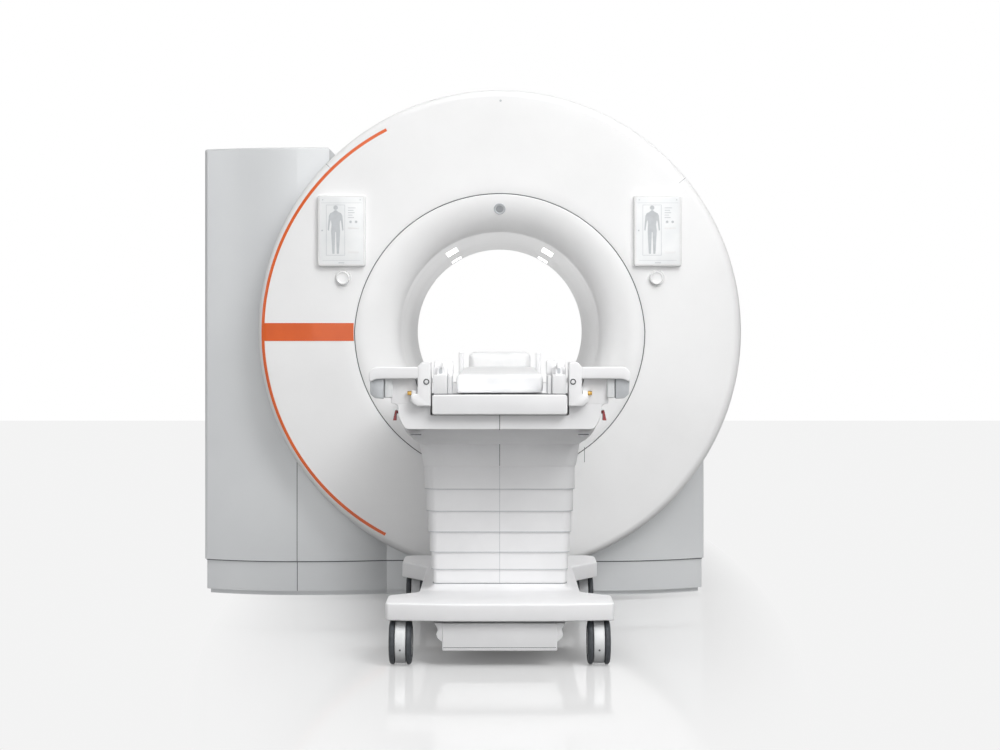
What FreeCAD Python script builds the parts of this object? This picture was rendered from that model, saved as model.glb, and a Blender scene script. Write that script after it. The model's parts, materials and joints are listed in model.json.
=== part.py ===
"""MRI scanner with a dockable patient table: a parametric model in millimetres.

The frame has +Z up and +Y into the bore. The origin is on the floor under the isocentre, the
middle of the magnet, so the front face is at minus half of the system's length along Y.
"""
import FreeCAD, Part
import math
import os

import Sketcher

Vector = FreeCAD.Vector
Rotation = FreeCAD.Rotation

doc = FreeCAD.newDocument("MriScanner")
sheet = doc.addObject("Spreadsheet::Sheet", "Sizes")


class Size:
    """A driving size, or a sum or product of sizes: its spreadsheet expression and its value."""

    def __init__(self, text, value):
        self.text = text
        self.value = value

    def joined(self, sign, other, value):
        return Size("(%s %s %s)" % (self.text, sign, text_of(other)), value)

    def __add__(self, other):
        return self.joined("+", other, self.value + value_of(other))

    def __sub__(self, other):
        return self.joined("-", other, self.value - value_of(other))

    def __mul__(self, other):
        return self.joined("*", other, self.value * value_of(other))

    def __truediv__(self, other):
        return self.joined("/", other, self.value / value_of(other))

    def __neg__(self):
        return Size("(0 - %s)" % self.text, -self.value)


def text_of(size):
    return size.text if isinstance(size, Size) else repr(float(size))


def value_of(size):
    return size.value if isinstance(size, Size) else float(size)


def root(size):
    return Size("sqrt(%s)" % size.text, math.sqrt(size.value))


def driving(name, value):
    """Puts one driving size into the next row of the sheet."""
    driving.row += 1
    sheet.set("A%d" % driving.row, name)
    sheet.set("B%d" % driving.row, str(value))
    sheet.setAlias("B%d" % driving.row, name)
    return Size("Sizes.%s" % name, float(value))


driving.row = 0

# ---------------------------------------------------------------- driving sizes
# the magnet
iso_height = driving("iso_height", 1070)
system_length = driving("system_length", 1860)
bore_radius = driving("bore_radius", 400)
disc_radius = driving("disc_radius", 960)
rim_depth = driving("rim_depth", 150)
rim_rounding = driving("rim_rounding", 32)
cover_wall = driving("cover_wall", 6)
seam_radius = driving("seam_radius", 577)
seam_top = driving("seam_top", 548)
seam_gap = driving("seam_gap", 3)
funnel_curve = driving("funnel_curve", 145)
front_funnel_depth = driving("front_funnel_depth", 215)
rear_funnel_depth = driving("rear_funnel_depth", 240)
liner_wall = driving("liner_wall", 8.7)
seat_gap = driving("seat_gap", 0.3)
running_gap = driving("running_gap", 0.06)
shroud_wall = driving("shroud_wall", 5)
shroud_tuck = driving("shroud_tuck", 20)
shroud_top_start = driving("shroud_top_start", 40)
shroud_top_end = driving("shroud_top_end", 136)
shroud_right_start = driving("shroud_right_start", -34)
shroud_seam_angle = driving("shroud_seam_angle", 0.25)

# inside the magnet
vessel_radius = driving("vessel_radius", 880)
vessel_bore = driving("vessel_bore", 480)
vessel_length = driving("vessel_length", 1500)
vessel_wall = driving("vessel_wall", 12)
helium_inner = driving("helium_inner", 540)
helium_outer = driving("helium_outer", 820)
helium_length = driving("helium_length", 1300)
helium_wall = driving("helium_wall", 8)
rod_radius = driving("rod_radius", 9)
rod_place = driving("rod_place", 560)
coil_build = driving("coil_build", 50)
coil_width = driving("coil_width", 120)
coil_pitch = driving("coil_pitch", 330)
primary_places = (-1.5, -0.5, 0.5, 1.5)  # in coil pitches from the middle
shield_places = (-1.5, 1.5)
rod_turns = (45, 135, 225, 315)  # degrees round the bore
gradient_wall = driving("gradient_wall", 54)
gradient_length = driving("gradient_length", 1400)
body_coil_length = driving("body_coil_length", 620)
bridge_top = driving("bridge_top", 805.2)

# the frame under the magnet
rail_width = driving("rail_width", 100)
rail_height = driving("rail_height", 100)
rail_length = driving("rail_length", 1280)
rail_place = driving("rail_place", 450)
cradle_width = driving("cradle_width", 120)
cradle_height = driving("cradle_height", 420)
cradle_place = driving("cradle_place", 540)
outrigger_height = driving("outrigger_height", 60)

# silver covers and plinths
plinth_height = driving("plinth_height", 136)
plinth_inset = driving("plinth_inset", 8)
plinth_inner = driving("plinth_inner", 30)
toe_height = driving("toe_height", 18)
toe_inset = driving("toe_inset", 22)
lip_height = driving("lip_height", 24)
skirt_wall = driving("skirt_wall", 8)
plinth_gap = driving("plinth_gap", 4)
column_height = driving("column_height", 1815)
column_left = driving("column_left", 1207)
column_right = driving("column_right", 690)
column_edge_depth = driving("column_edge_depth", 691)
column_front_depth = driving("column_front_depth", 774)
column_seam = driving("column_seam", 820)
column_return = driving("column_return", 4)
column_front_radius = driving("column_front_radius", 944)
base_front_radius = driving("base_front_radius", 1528)
base_inner_depth = driving("base_inner_depth", 731)
base_turn = driving("base_turn", 460)
base_inner = driving("base_inner", 310)
right_edge = driving("right_edge", 840)
right_edge_depth = driving("right_edge_depth", 650)
right_front_depth = driving("right_front_depth", 766)
right_turn = driving("right_turn", 400)
right_front_radius = driving("right_front_radius", 910)
base_height = driving("base_height", 700)
cover_rear = driving("cover_rear", 775)
cover_corner = driving("cover_corner", 22)
top_rounding = driving("top_rounding", 7.3)
seam_width = driving("seam_width", 2)

# fittings of the magnet
turret_width = driving("turret_width", 240)
turret_base = driving("turret_base", 1290)
turret_height = driving("turret_height", 150)
cold_head_place = driving("cold_head_place", 985)
cold_head_radius = driving("cold_head_radius", 75)
cold_head_height = driving("cold_head_height", 280)
standoff_radius = driving("standoff_radius", 20)
standoff_place = driving("standoff_place", 760)
camera_radius = driving("camera_radius", 21)
camera_rise = driving("camera_rise", 487)
camera_depth = driving("camera_depth", 10)
camera_length = driving("camera_length", 30)
panel_place = driving("panel_place", 625)
panel_rise = driving("panel_rise", 399)
panel_width = driving("panel_width", 190)
panel_height = driving("panel_height", 284)
panel_depth = driving("panel_depth", 26)
panel_rounding = driving("panel_rounding", 8)
screen_width = driving("screen_width", 166)
screen_height = driving("screen_height", 216)
screen_rise = driving("screen_rise", 12)
screen_thickness = driving("screen_thickness", 4)
knob_place = driving("knob_place", 621)
knob_rise = driving("knob_rise", 212)
knob_radius = driving("knob_radius", 26.5)
knob_depth = driving("knob_depth", 20)
knob_bevel = driving("knob_bevel", 3)
knob_stem = driving("knob_stem", 6)
knob_lift = driving("knob_lift", 0.5)
receiver_width = driving("receiver_width", 220)
receiver_base = driving("receiver_base", 145)
receiver_height = driving("receiver_height", 95)
receiver_depth = driving("receiver_depth", 60)
receiver_slot_depth = driving("receiver_slot_depth", 45)
tongue_width = driving("tongue_width", 90)
tongue_base = driving("tongue_base", 164)
tongue_height = driving("tongue_height", 36)
tongue_tip = driving("tongue_tip", 950)
tongue_gap = driving("tongue_gap", 0.9)

# the table's base
base_bottom = driving("base_bottom", 148)
base_top = driving("base_top", 204)
base_wall = driving("base_wall", 5)
base_half_width = driving("base_half_width", 366)
base_front = driving("base_front", 2410)
base_rear = driving("base_rear", 1100)
base_front_sweep = driving("base_front_sweep", 34)
waist_half_width = driving("waist_half_width", 268)
bumper_rear = driving("bumper_rear", 2190)
waist_front = driving("waist_front", 2110)
waist_rear = driving("waist_rear", 1450)
ear_front = driving("ear_front", 1310)
base_corner = driving("base_corner", 48)
base_rounding = driving("base_rounding", 10)
chassis_half_width = driving("chassis_half_width", 200)
chassis_beam_half = driving("chassis_beam_half", 352)
chassis_beam_width = driving("chassis_beam_width", 100)
chassis_margin = driving("chassis_margin", 44)
pan_half_width = driving("pan_half_width", 184)
pan_bottom = driving("pan_bottom", 45)
pan_front = driving("pan_front", 2300)
pan_rear = driving("pan_rear", 1350)
pan_wall = driving("pan_wall", 4)
caster_place = driving("caster_place", 318)
front_swivel = driving("front_swivel", 2290)
rear_swivel = driving("rear_swivel", 1180)
caster_trail = driving("caster_trail", 22)
wheel_diameter = driving("wheel_diameter", 144)
wheel_half_width = driving("wheel_half_width", 37)
wheel_inner = driving("wheel_inner", 18.5)
wheel_rounding = driving("wheel_rounding", 9)
axle_radius = driving("axle_radius", 8)
fender_radius = driving("fender_radius", 68)
fender_half_width = driving("fender_half_width", 17.5)
stem_depth = driving("stem_depth", 44)
swivel_pin = driving("swivel_pin", 9)
swivel_pin_length = driving("swivel_pin_length", 40)
pedal_front = driving("pedal_front", 2368)
pedal_thickness = driving("pedal_thickness", 8)
pedal_half_width = driving("pedal_half_width", 190)
pedal_bottom = driving("pedal_bottom", 45)
pedal_drop = driving("pedal_drop", 8)
pedal_arm_outer = driving("pedal_arm_outer", 205)
pedal_arm_width = driving("pedal_arm_width", 8)
pedal_pivot = driving("pedal_pivot", 2180)
pedal_pivot_height = driving("pedal_pivot_height", 115)
pedal_pin = driving("pedal_pin", 6)
pedal_eye = driving("pedal_eye", 18)

# the lift
lift_travel = driving("lift_travel", 310)
column_half_width = driving("column_half_width", 252)
column_front = driving("column_front", 2097)
column_depth = driving("column_depth", 600)
cover_step = driving("cover_step", 5.8)
segment_wall = driving("segment_wall", 5)
segment_corner = driving("segment_corner", 46)
segment_lap = driving("segment_lap", 16)
neck_bottom = driving("neck_bottom", 620)
neck_top = driving("neck_top", 698)
neck_half_width = driving("neck_half_width", 256)
neck_flare = driving("neck_flare", 9.5)
neck_wall = driving("neck_wall", 6)
segment_bottoms = [
    driving("segment_bottom_1", 543),
    driving("segment_bottom_2", 469),
    driving("segment_bottom_3", 399),
    driving("segment_bottom_4", 331),
    driving("segment_bottom_5", 273),
    base_top,
]
tube_half = driving("tube_half", 85)
tube_wall = driving("tube_wall", 3.5)
tube_gap = driving("tube_gap", 0.5)
tube_foot = driving("tube_foot", 100)
lower_tube_top = driving("lower_tube_top", 380)
middle_tube_bottom = driving("middle_tube_bottom", 260)
middle_tube_top = driving("middle_tube_top", 535)
upper_tube_bottom = driving("upper_tube_bottom", 415)

# the carrier, which holds the tabletop
carrier_front = driving("carrier_front", 2385)
carrier_rear = driving("carrier_rear", 1000)
carrier_deck = driving("carrier_deck", 868)
carrier_deck_half = driving("carrier_deck_half", 343)
carrier_knee_half = driving("carrier_knee_half", 306)
carrier_knee = driving("carrier_knee", 752)
carrier_foot_half = driving("carrier_foot_half", 268)
carrier_slope = driving("carrier_slope", 230)
carrier_hollow_half = driving("carrier_hollow_half", 200)
carrier_ceiling = driving("carrier_ceiling", 790)
channel_gap = driving("channel_gap", 3.5)
bracket_outer = driving("bracket_outer", 259)
bracket_top = driving("bracket_top", 973)
bracket_front = driving("bracket_front", 2420)
bracket_rear = driving("bracket_rear", 2310)
foot_block_outer = driving("foot_block_outer", 281)
foot_block_bottom = driving("foot_block_bottom", 831)
handle_outer = driving("handle_outer", 425)
handle_rail_inner = driving("handle_rail_inner", 365)
handle_top = driving("handle_top", 952)
handle_bar_bottom = driving("handle_bar_bottom", 910)
handle_rail_bottom = driving("handle_rail_bottom", 869)
handle_grip_bottom = driving("handle_grip_bottom", 848)
handle_bar_depth = driving("handle_bar_depth", 46)
handle_grip_depth = driving("handle_grip_depth", 34)
handle_rail_rear = driving("handle_rail_rear", 2060)
handle_rounding = driving("handle_rounding", 16)
lever_pivot_height = driving("lever_pivot_height", 812)
lever_place = driving("lever_place", 2340)
lever_inner = driving("lever_inner", 330)
lever_top_thickness = driving("lever_top_thickness", 4)
lever_bottom_thickness = driving("lever_bottom_thickness", 11)
lever_drop = driving("lever_drop", 26)
lever_rise = driving("lever_rise", 6)
lever_length = driving("lever_length", 40)
lever_pin = driving("lever_pin", 5)
lever_pin_inner = driving("lever_pin_inner", 290)

# the tabletop
tabletop_half = driving("tabletop_half", 214.5)
tabletop_bottom = driving("tabletop_bottom", 806)
tabletop_top = driving("tabletop_top", 872)
tabletop_front = driving("tabletop_front", 2418)
tabletop_rear = driving("tabletop_rear", 945)
tabletop_chamfer = driving("tabletop_chamfer", 22)
mattress_half = driving("mattress_half", 144)
mattress_top = driving("mattress_top", 936)
mattress_front = driving("mattress_front", 2300)
mattress_rear = driving("mattress_rear", 1094)
mattress_rounding = driving("mattress_rounding", 12)
headrest_half = driving("headrest_half", 120)
headrest_top = driving("headrest_top", 990)
headrest_front = driving("headrest_front", 1090)
headrest_rear = driving("headrest_rear", 960)
socket_inner = driving("socket_inner", 148)
socket_outer = driving("socket_outer", 213)
socket_top = driving("socket_top", 934)
socket_front = driving("socket_front", 2405)
socket_rear = driving("socket_rear", 2230)
post_top = driving("post_top", 983)
post_width = driving("post_width", 22)
post_depth = driving("post_depth", 30)
doc.recompute()

# ---------------------------------------------------------------- places worked out from them
front_y = -system_length / 2
rear_y = system_length / 2
throat_front = front_y + front_funnel_depth
throat_rear = rear_y - rear_funnel_depth
shroud_radius = disc_radius - cover_wall - seat_gap
skirt_opening = disc_radius - cover_wall
gradient_outer = vessel_bore - seat_gap
gradient_inner = gradient_outer - gradient_wall
body_coil_outer = gradient_inner - seat_gap
body_coil_inner = bore_radius + liner_wall + seat_gap


# ---------------------------------------------------------------- small modelling helpers
def bind(thing, name, size):
    """Sets one property to a number, or ties it to the sheet."""
    if isinstance(size, Size):
        thing.setExpression(name, size.text)
    else:
        setattr(thing, name, size)


def place(thing, x=0, y=0, z=0):
    """Ties an object's position to the sheet."""
    for axis, size in zip("xyz", (x, y, z)):
        if isinstance(size, Size):
            thing.setExpression("Placement.Base.%s" % axis, size.text)
        elif size:
            setattr(thing.Placement.Base, axis, float(size))


def new_body(label, z=0):
    body = doc.addObject("PartDesign::Body", label)
    body.Label = label
    place(body, z=z)
    return body


def new_sketch(body, plane, offset=0):
    """A sketch on one of the body's origin planes, moved along the plane's normal."""
    sketch = body.newObject("Sketcher::SketchObject", body.Name + "_outline")
    feature = [f for f in body.Origin.OriginFeatures if f.Role == plane + "_Plane"][0]
    sketch.AttachmentSupport = [(feature, "")]
    sketch.MapMode = "FlatFace"
    if isinstance(offset, Size):
        sketch.setExpression("AttachmentOffset.Base.z", offset.text)
    return sketch


def pin_point(sketch, geometry, point, x, y):
    """Fixes one point of a sketch by its two distances from the sketch's origin."""
    for kind, size in (("DistanceX", x), ("DistanceY", y)):
        limit = Sketcher.Constraint(kind, -1, 1, geometry, point, value_of(size))
        index = sketch.addConstraint(limit)
        if isinstance(size, Size):
            sketch.setExpression("Constraints[%d]" % index, size.text)


def set_radius(sketch, geometry, radius):
    index = sketch.addConstraint(Sketcher.Constraint("Radius", geometry, value_of(radius)))
    if isinstance(radius, Size):
        sketch.setExpression("Constraints[%d]" % index, radius.text)


def draw_circle(sketch, radius, x=0, y=0):
    centre = Vector(value_of(x), value_of(y), 0)
    circle = Part.Circle(centre, Vector(0, 0, 1), value_of(radius))
    geometry = sketch.addGeometry(circle)
    pin_point(sketch, geometry, 3, x, y)
    set_radius(sketch, geometry, radius)


def draw_outline(sketch, corners):
    """A closed outline through (x, y) corners.

    A corner (x, y, radius, turn) starts an arc to the next corner: turn is 1 where the arc goes
    anticlockwise, and -1 where it goes clockwise.
    """
    ends = []
    count = len(corners)
    for index, corner in enumerate(corners):
        start = Vector(value_of(corner[0]), value_of(corner[1]), 0)
        following = corners[(index + 1) % count]
        stop = Vector(value_of(following[0]), value_of(following[1]), 0)
        if len(corner) == 2:
            geometry = sketch.addGeometry(Part.LineSegment(start, stop))
            ends.append((geometry, 1, 2))
            continue
        radius, turn = corner[2], corner[3]
        chord = stop - start
        middle = (start + stop) / 2
        rise = math.sqrt(max(value_of(radius) ** 2 - (chord.Length / 2) ** 2, 0))
        left = Vector(-chord.y, chord.x, 0)
        left.normalize()
        centre = middle + left * rise * turn
        angles = [math.atan2((p - centre).y, (p - centre).x) for p in (start, stop)]
        circle = Part.Circle(centre, Vector(0, 0, 1), value_of(radius))
        if turn > 0:
            arc = Part.ArcOfCircle(circle, angles[0], angles[1])
            ends.append((sketch.addGeometry(arc), 1, 2))
        else:
            arc = Part.ArcOfCircle(circle, angles[1], angles[0])
            ends.append((sketch.addGeometry(arc), 2, 1))
    for index, (geometry, _, stop_point) in enumerate(ends):
        next_geometry, next_start, _ = ends[(index + 1) % count]
        meet = Sketcher.Constraint(
            "Coincident", geometry, stop_point, next_geometry, next_start
        )
        sketch.addConstraint(meet)
    for corner, (geometry, start_point, _) in zip(corners, ends):
        pin_point(sketch, geometry, start_point, corner[0], corner[1])
        if len(corner) == 4:
            set_radius(sketch, geometry, corner[2])


def draw_rectangle(sketch, left, right, low, high):
    draw_outline(sketch, [(left, low), (right, low), (right, high), (left, high)])


def pad(body, sketch, length, back=False, taper=0):
    feature = body.newObject("PartDesign::Pad", body.Name + "_pad")
    feature.Profile = sketch
    bind(feature, "Length", length)
    feature.Reversed = back
    bind(feature, "TaperAngle", taper)
    doc.recompute()
    return feature


def pocket(body, sketch, length=None, back=False, both=False):
    """Cuts a sketch out of the body, against the sketch's normal unless back is set."""
    before = body.Shape.Volume
    feature = body.newObject("PartDesign::Pocket", body.Name + "_pocket")
    feature.Profile = sketch
    if length is None:
        feature.Type = 1
    else:
        bind(feature, "Length", length)
    feature.Reversed = back
    feature.Midplane = both
    doc.recompute()
    if not feature.Shape.Volume < before - 1:
        raise RuntimeError("%s: a pocket cuts nothing" % body.Label)
    return feature


def revolve(body, sketch, axis="H_Axis"):
    feature = body.newObject("PartDesign::Revolution", body.Name + "_turned")
    feature.Profile = sketch
    feature.ReferenceAxis = (sketch, [axis])
    feature.Angle = 360
    doc.recompute()
    return feature


def fillet(body, radius, wanted):
    """Rounds the edges of the body's last feature that the test picks."""
    base = body.Tip
    names = [
        "Edge%d" % (number + 1)
        for number, edge in enumerate(base.Shape.Edges)
        if wanted(edge)
    ]
    if not names:
        raise RuntimeError("%s: no edge to round" % body.Label)
    feature = body.newObject("PartDesign::Fillet", body.Name + "_rounding")
    feature.Base = (base, names)
    bind(feature, "Radius", radius)
    doc.recompute()
    if feature.Shape.isNull():
        raise RuntimeError("%s: a rounding failed on %s" % (body.Label, names))
    return feature


def box(label, left, right, front, rear, low, high):
    """A block between two planes along each axis."""
    block = doc.addObject("Part::Box", label)
    block.Label = label
    for name, start, stop in (("Length", left, right), ("Width", front, rear), ("Height", low, high)):
        span = stop - start if isinstance(stop, Size) or not isinstance(start, Size) else -start + stop
        bind(block, name, span)
    place(block, left, front, low)
    return block


def cylinder(label, radius, length, x=0, y=0, z=0, along="Z", sector=None):
    """A round bar that starts at (x, y, z) and runs along an axis."""
    turns = {"Z": (Vector(0, 0, 1), 0), "Y": (Vector(1, 0, 0), -90), "X": (Vector(0, 1, 0), 90)}
    bar = doc.addObject("Part::Cylinder", label)
    bar.Label = label
    bind(bar, "Radius", radius)
    bind(bar, "Height", length)
    if sector is not None:
        bind(bar, "Angle", sector)
    bar.Placement.Rotation = Rotation(*turns[along])
    place(bar, x, y, z)
    return bar


def fuse(label, pieces):
    joined = doc.addObject("Part::MultiFuse", label)
    joined.Label = label
    joined.Shapes = pieces
    joined.Refine = True
    doc.recompute()
    return joined


def cut(label, base, tools):
    """The base less one tool, or less the sum of several."""
    tool = tools[0] if len(tools) == 1 else fuse(label + "_tools", tools)
    left = doc.addObject("Part::Cut", label)
    left.Label = label
    left.Base = base
    left.Tool = tool
    left.Refine = True
    doc.recompute()
    return left


def group(label, pieces):
    """Separate solids that share one node."""
    together = doc.addObject("Part::Compound", label)
    together.Label = label
    together.Links = pieces
    doc.recompute()
    return together


def upright(edge):
    """Tests for a straight edge along Z."""
    return (
        isinstance(edge.Curve, Part.Line)
        and abs(edge.Curve.Direction.z) > 0.999
    )


sub_parts = []


def keep(thing):
    """Marks an object as a finished sub-part."""
    sub_parts.append(thing)
    return thing


# ---------------------------------------------------------------- the round covers
def opening_corners(radius, top):
    """The cover's opening: a half circle below and a slightly flatter arc above."""
    crown = (radius * radius + top * top) / (top * 2)
    return [
        (-radius, 0, radius, 1),
        (0, -radius, radius, 1),
        (radius, 0, crown, 1),
        (0, top, crown, 1),
    ]


def round_cover(label, face, inward):
    """A dished disc with a rounded rim, an opening and four standoffs to the vessel.

    face is the Y of its flat face, and inward is 1 where its rim runs towards +Y from there.
    """
    body = new_body(label, z=iso_height)
    back_face = face + cover_wall * inward
    rim_start = face + rim_rounding * inward
    rim_edge = face + rim_depth * inward
    flat_radius = disc_radius - rim_rounding
    section = new_sketch(body, "YZ")
    draw_outline(
        section,
        [
            (face, bore_radius),
            (face, flat_radius, rim_rounding, -inward),
            (rim_start, disc_radius),
            (rim_edge, disc_radius),
            (rim_edge, skirt_opening),
            (rim_start, skirt_opening, rim_rounding - cover_wall, inward),
            (back_face, flat_radius),
            (back_face, bore_radius),
        ],
    )
    revolve(body, section)
    opening = new_sketch(body, "XZ", -face)
    draw_outline(opening, opening_corners(seam_radius, seam_top))
    pocket(body, opening, back=inward < 0)
    standoffs = new_sketch(body, "XZ", -back_face)
    for side in (-1, 1):
        for rise in (-1, 1):
            reach = standoff_place / math.sqrt(2)
            draw_circle(standoffs, standoff_radius, reach * side, reach * rise)
    pad(body, standoffs, (rear_y - vessel_length / 2 - cover_wall), back=inward > 0)
    return body


def funnel(label, face, inward, depth):
    """A flange that fills the cover's opening and a trumpet that narrows to the bore."""
    body = new_body(label, z=iso_height)
    flange = new_sketch(body, "XZ", -face)
    draw_outline(flange, opening_corners(seam_radius - seam_gap, seam_top - seam_gap))
    draw_circle(flange, bore_radius + funnel_curve)
    pad(body, flange, cover_wall, back=inward > 0)
    mouth = bore_radius + funnel_curve
    curve_end = face + funnel_curve * inward
    throat = face + depth * inward
    back_face = face + cover_wall * inward
    section = new_sketch(body, "YZ")
    draw_outline(
        section,
        [
            (face, mouth, funnel_curve, inward),
            (curve_end, bore_radius),
            (throat, bore_radius),
            (throat, bore_radius + cover_wall),
            (curve_end, bore_radius + cover_wall, funnel_curve - cover_wall, -inward),
            (back_face, mouth),
        ],
    )
    revolve(body, section)
    return body


front_cover_plain = round_cover("front_cover_plain", front_y, 1)
knob_hole_length = cover_wall * 3
knob_holes = [
    cylinder(
        "knob_hole_%d" % side,
        knob_stem + running_gap,
        knob_hole_length,
        knob_place * side,
        front_y - cover_wall,
        iso_height + knob_rise,
        along="Y",
    )
    for side in (-1, 1)
]
keep(cut("front_cover", front_cover_plain, knob_holes))
front_funnel_plain = funnel("front_funnel_plain", front_y, 1, front_funnel_depth)
patient_camera = keep(
    cylinder(
        "patient_camera",
        camera_radius,
        camera_length,
        0,
        front_y + camera_depth,
        iso_height + camera_rise,
        along="Y",
    )
)
keep(cut("front_funnel", front_funnel_plain, [patient_camera]))
keep(round_cover("rear_cover", rear_y, -1))
keep(funnel("rear_funnel", rear_y, -1, rear_funnel_depth))


def shroud(label, start, stop):
    """A curved panel between the round covers, made as a turned ring cut to its sector."""
    body = new_body(label, z=iso_height)
    front = front_y + rim_depth - shroud_tuck
    length = system_length - (rim_depth - shroud_tuck) * 2
    ring = new_sketch(body, "XZ", -(front + length))
    inner = shroud_radius - shroud_wall
    angles = [math.radians(value_of(a)) for a in (start, stop)]
    middle = (angles[0] + angles[1]) / 2

    def at(radius, text, angle):
        return (
            Size("(%s * cos(%s * 1deg))" % (radius.text, text), radius.value * math.cos(angle)),
            Size("(%s * sin(%s * 1deg))" % (radius.text, text), radius.value * math.sin(angle)),
        )

    half_text = "((%s + %s) / 2)" % (text_of(start), text_of(stop))
    corners = [
        at(shroud_radius, text_of(start), angles[0]) + (shroud_radius, 1),
        at(shroud_radius, half_text, middle) + (shroud_radius, 1),
        at(shroud_radius, text_of(stop), angles[1]),
        at(inner, text_of(stop), angles[1]) + (inner, -1),
        at(inner, half_text, middle) + (inner, -1),
        at(inner, text_of(start), angles[0]),
    ]
    draw_outline(ring, corners)
    pad(body, ring, length)
    return body


keep(shroud("shroud_top", shroud_top_start + shroud_seam_angle, shroud_top_end))
keep(shroud("shroud_right", shroud_right_start, shroud_top_start))


# ---------------------------------------------------------------- inside the magnet
def tube(label, inner, outer, front, rear):
    body = new_body(label, z=iso_height)
    section = new_sketch(body, "YZ")
    draw_rectangle(section, front, rear, inner, outer)
    revolve(body, section)
    return body


def closed_vessel(label, inner, outer, length, wall):
    """A hollow ring-shaped vessel, closed at both ends."""
    body = new_body(label, z=iso_height)
    section = new_sketch(body, "YZ")
    draw_rectangle(section, -length / 2, length / 2, inner, outer)
    reach = length / 2 - wall
    draw_rectangle(section, -reach, reach, inner + wall, outer - wall)
    revolve(body, section)
    return body


keep(closed_vessel("vacuum_vessel", vessel_bore, vessel_radius, vessel_length, vessel_wall))
helium_shell = closed_vessel(
    "helium_shell", helium_inner, helium_outer, helium_length, helium_wall
)
rod_length = vessel_radius - vessel_wall - helium_outer + helium_wall / 2 - seat_gap
rods = []
for end in (-1, 1):
    for turn in rod_turns:
        rod = doc.addObject("Part::Cylinder", "rod")
        bind(rod, "Radius", rod_radius)
        bind(rod, "Height", rod_length)
        direction = Rotation(Vector(0, 1, 0), turn)
        rod.Placement.Rotation = direction
        out = direction.multVec(Vector(0, 0, 1))
        start = helium_outer - helium_wall / 2
        place(rod, start * out.x, rod_place * end, iso_height + start * out.z)
        rods.append(rod)
keep(fuse("helium_vessel", [helium_shell] + rods))
windings = []
for number in primary_places:
    windings.append(
        tube(
            "primary_coil",
            helium_inner + helium_wall,
            helium_inner + helium_wall + coil_build,
            coil_pitch * number - coil_width / 2,
            coil_pitch * number + coil_width / 2,
        )
    )
for number in shield_places:
    windings.append(
        tube(
            "shield_coil",
            helium_outer - helium_wall - coil_build,
            helium_outer - helium_wall,
            coil_pitch * number - coil_width / 2,
            coil_pitch * number + coil_width / 2,
        )
    )
keep(group("magnet_coils", windings))
keep(
    tube(
        "gradient_coil",
        gradient_inner,
        gradient_outer,
        -gradient_length / 2,
        gradient_length / 2,
    )
)
keep(
    tube(
        "body_coil",
        body_coil_inner,
        body_coil_outer,
        -body_coil_length / 2,
        body_coil_length / 2,
    )
)
keep(tube("bore_liner", bore_radius, bore_radius + liner_wall, throat_front, throat_rear))

bridge = new_body("bore_bridge", z=iso_height)
bridge_section = new_sketch(bridge, "XZ", -throat_rear)
bridge_radius = bore_radius - seat_gap
bridge_drop = iso_height - bridge_top
bridge_half = root(bridge_radius * bridge_radius - bridge_drop * bridge_drop)
draw_outline(
    bridge_section,
    [
        (-bridge_half, -bridge_drop, bridge_radius, 1),
        (bridge_half, -bridge_drop),
    ],
)
pad(bridge, bridge_section, throat_rear - throat_front)
keep(bridge)

# ---------------------------------------------------------------- the frame under the magnet
frame_pieces = []
for side in (-1, 1):
    frame_pieces.append(
        box(
            "frame_rail",
            rail_place * side - rail_width / 2,
            rail_place * side + rail_width / 2,
            -rail_length / 2,
            rail_length / 2,
            0,
            rail_height,
        )
    )
    frame_pieces.append(
        box(
            "cradle",
            -(rail_place + rail_width / 2),
            rail_place + rail_width / 2,
            cradle_place * side - cradle_width / 2,
            cradle_place * side + cradle_width / 2,
            0,
            cradle_height,
        )
    )
    frame_pieces.append(
        box(
            "outrigger",
            -(column_left - plinth_inner),
            right_edge - plinth_inner,
            cradle_place * side - cradle_width / 4,
            cradle_place * side + cradle_width / 4,
            toe_height + plinth_gap,
            toe_height + plinth_gap + outrigger_height,
        )
    )
frame_pieces.append(
    box(
        "frame_middle",
        -rail_place,
        rail_place,
        -cradle_width / 2,
        cradle_width / 2,
        0,
        rail_height,
    )
)
vessel_room = cylinder(
    "vessel_room", vessel_radius, vessel_length, 0, -vessel_length / 2, iso_height, "Y"
)
keep(cut("floor_frame", fuse("frame_steel", frame_pieces), [vessel_room]))


# ---------------------------------------------------------------- silver covers and plinths
def column_plan(inset):
    """The tall column's plan: a curved front that reaches in behind the disc's rim."""
    return [
        (-(column_left - inset), cover_rear - inset),
        (-(column_left - inset), -(column_edge_depth - inset), column_front_radius, 1),
        (-column_seam, -(column_front_depth - inset)),
        (-(column_right + inset), -(column_front_depth - inset - column_return)),
        (-(column_right + inset), cover_rear - inset),
    ]


def left_base_plan(inset):
    return [
        (-(column_seam - seam_width / 2), cover_rear - inset),
        (-(column_seam - seam_width / 2), -(column_front_depth - inset), base_front_radius, 1),
        (-base_turn, -(base_inner_depth - inset)),
        (-base_inner, -(base_inner_depth - inset)),
        (-base_inner, cover_rear - inset),
    ]


def right_base_plan(inset):
    return [
        (base_inner, cover_rear - inset),
        (base_inner, -(right_front_depth - inset)),
        (right_turn, -(right_front_depth - inset), right_front_radius, 1),
        (right_edge - inset, -(right_edge_depth - inset)),
        (right_edge - inset, cover_rear - inset),
    ]


def left_plinth_plan(inset):
    return [
        (-(column_left - inset), cover_rear - inset),
        (-(column_left - inset), -(column_edge_depth - inset), column_front_radius, 1),
        (-column_seam, -(column_front_depth - inset), base_front_radius, 1),
        (-base_turn, -(base_inner_depth - inset)),
        (-base_inner, -(base_inner_depth - inset)),
        (-base_inner, cover_rear - inset),
    ]


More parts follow.
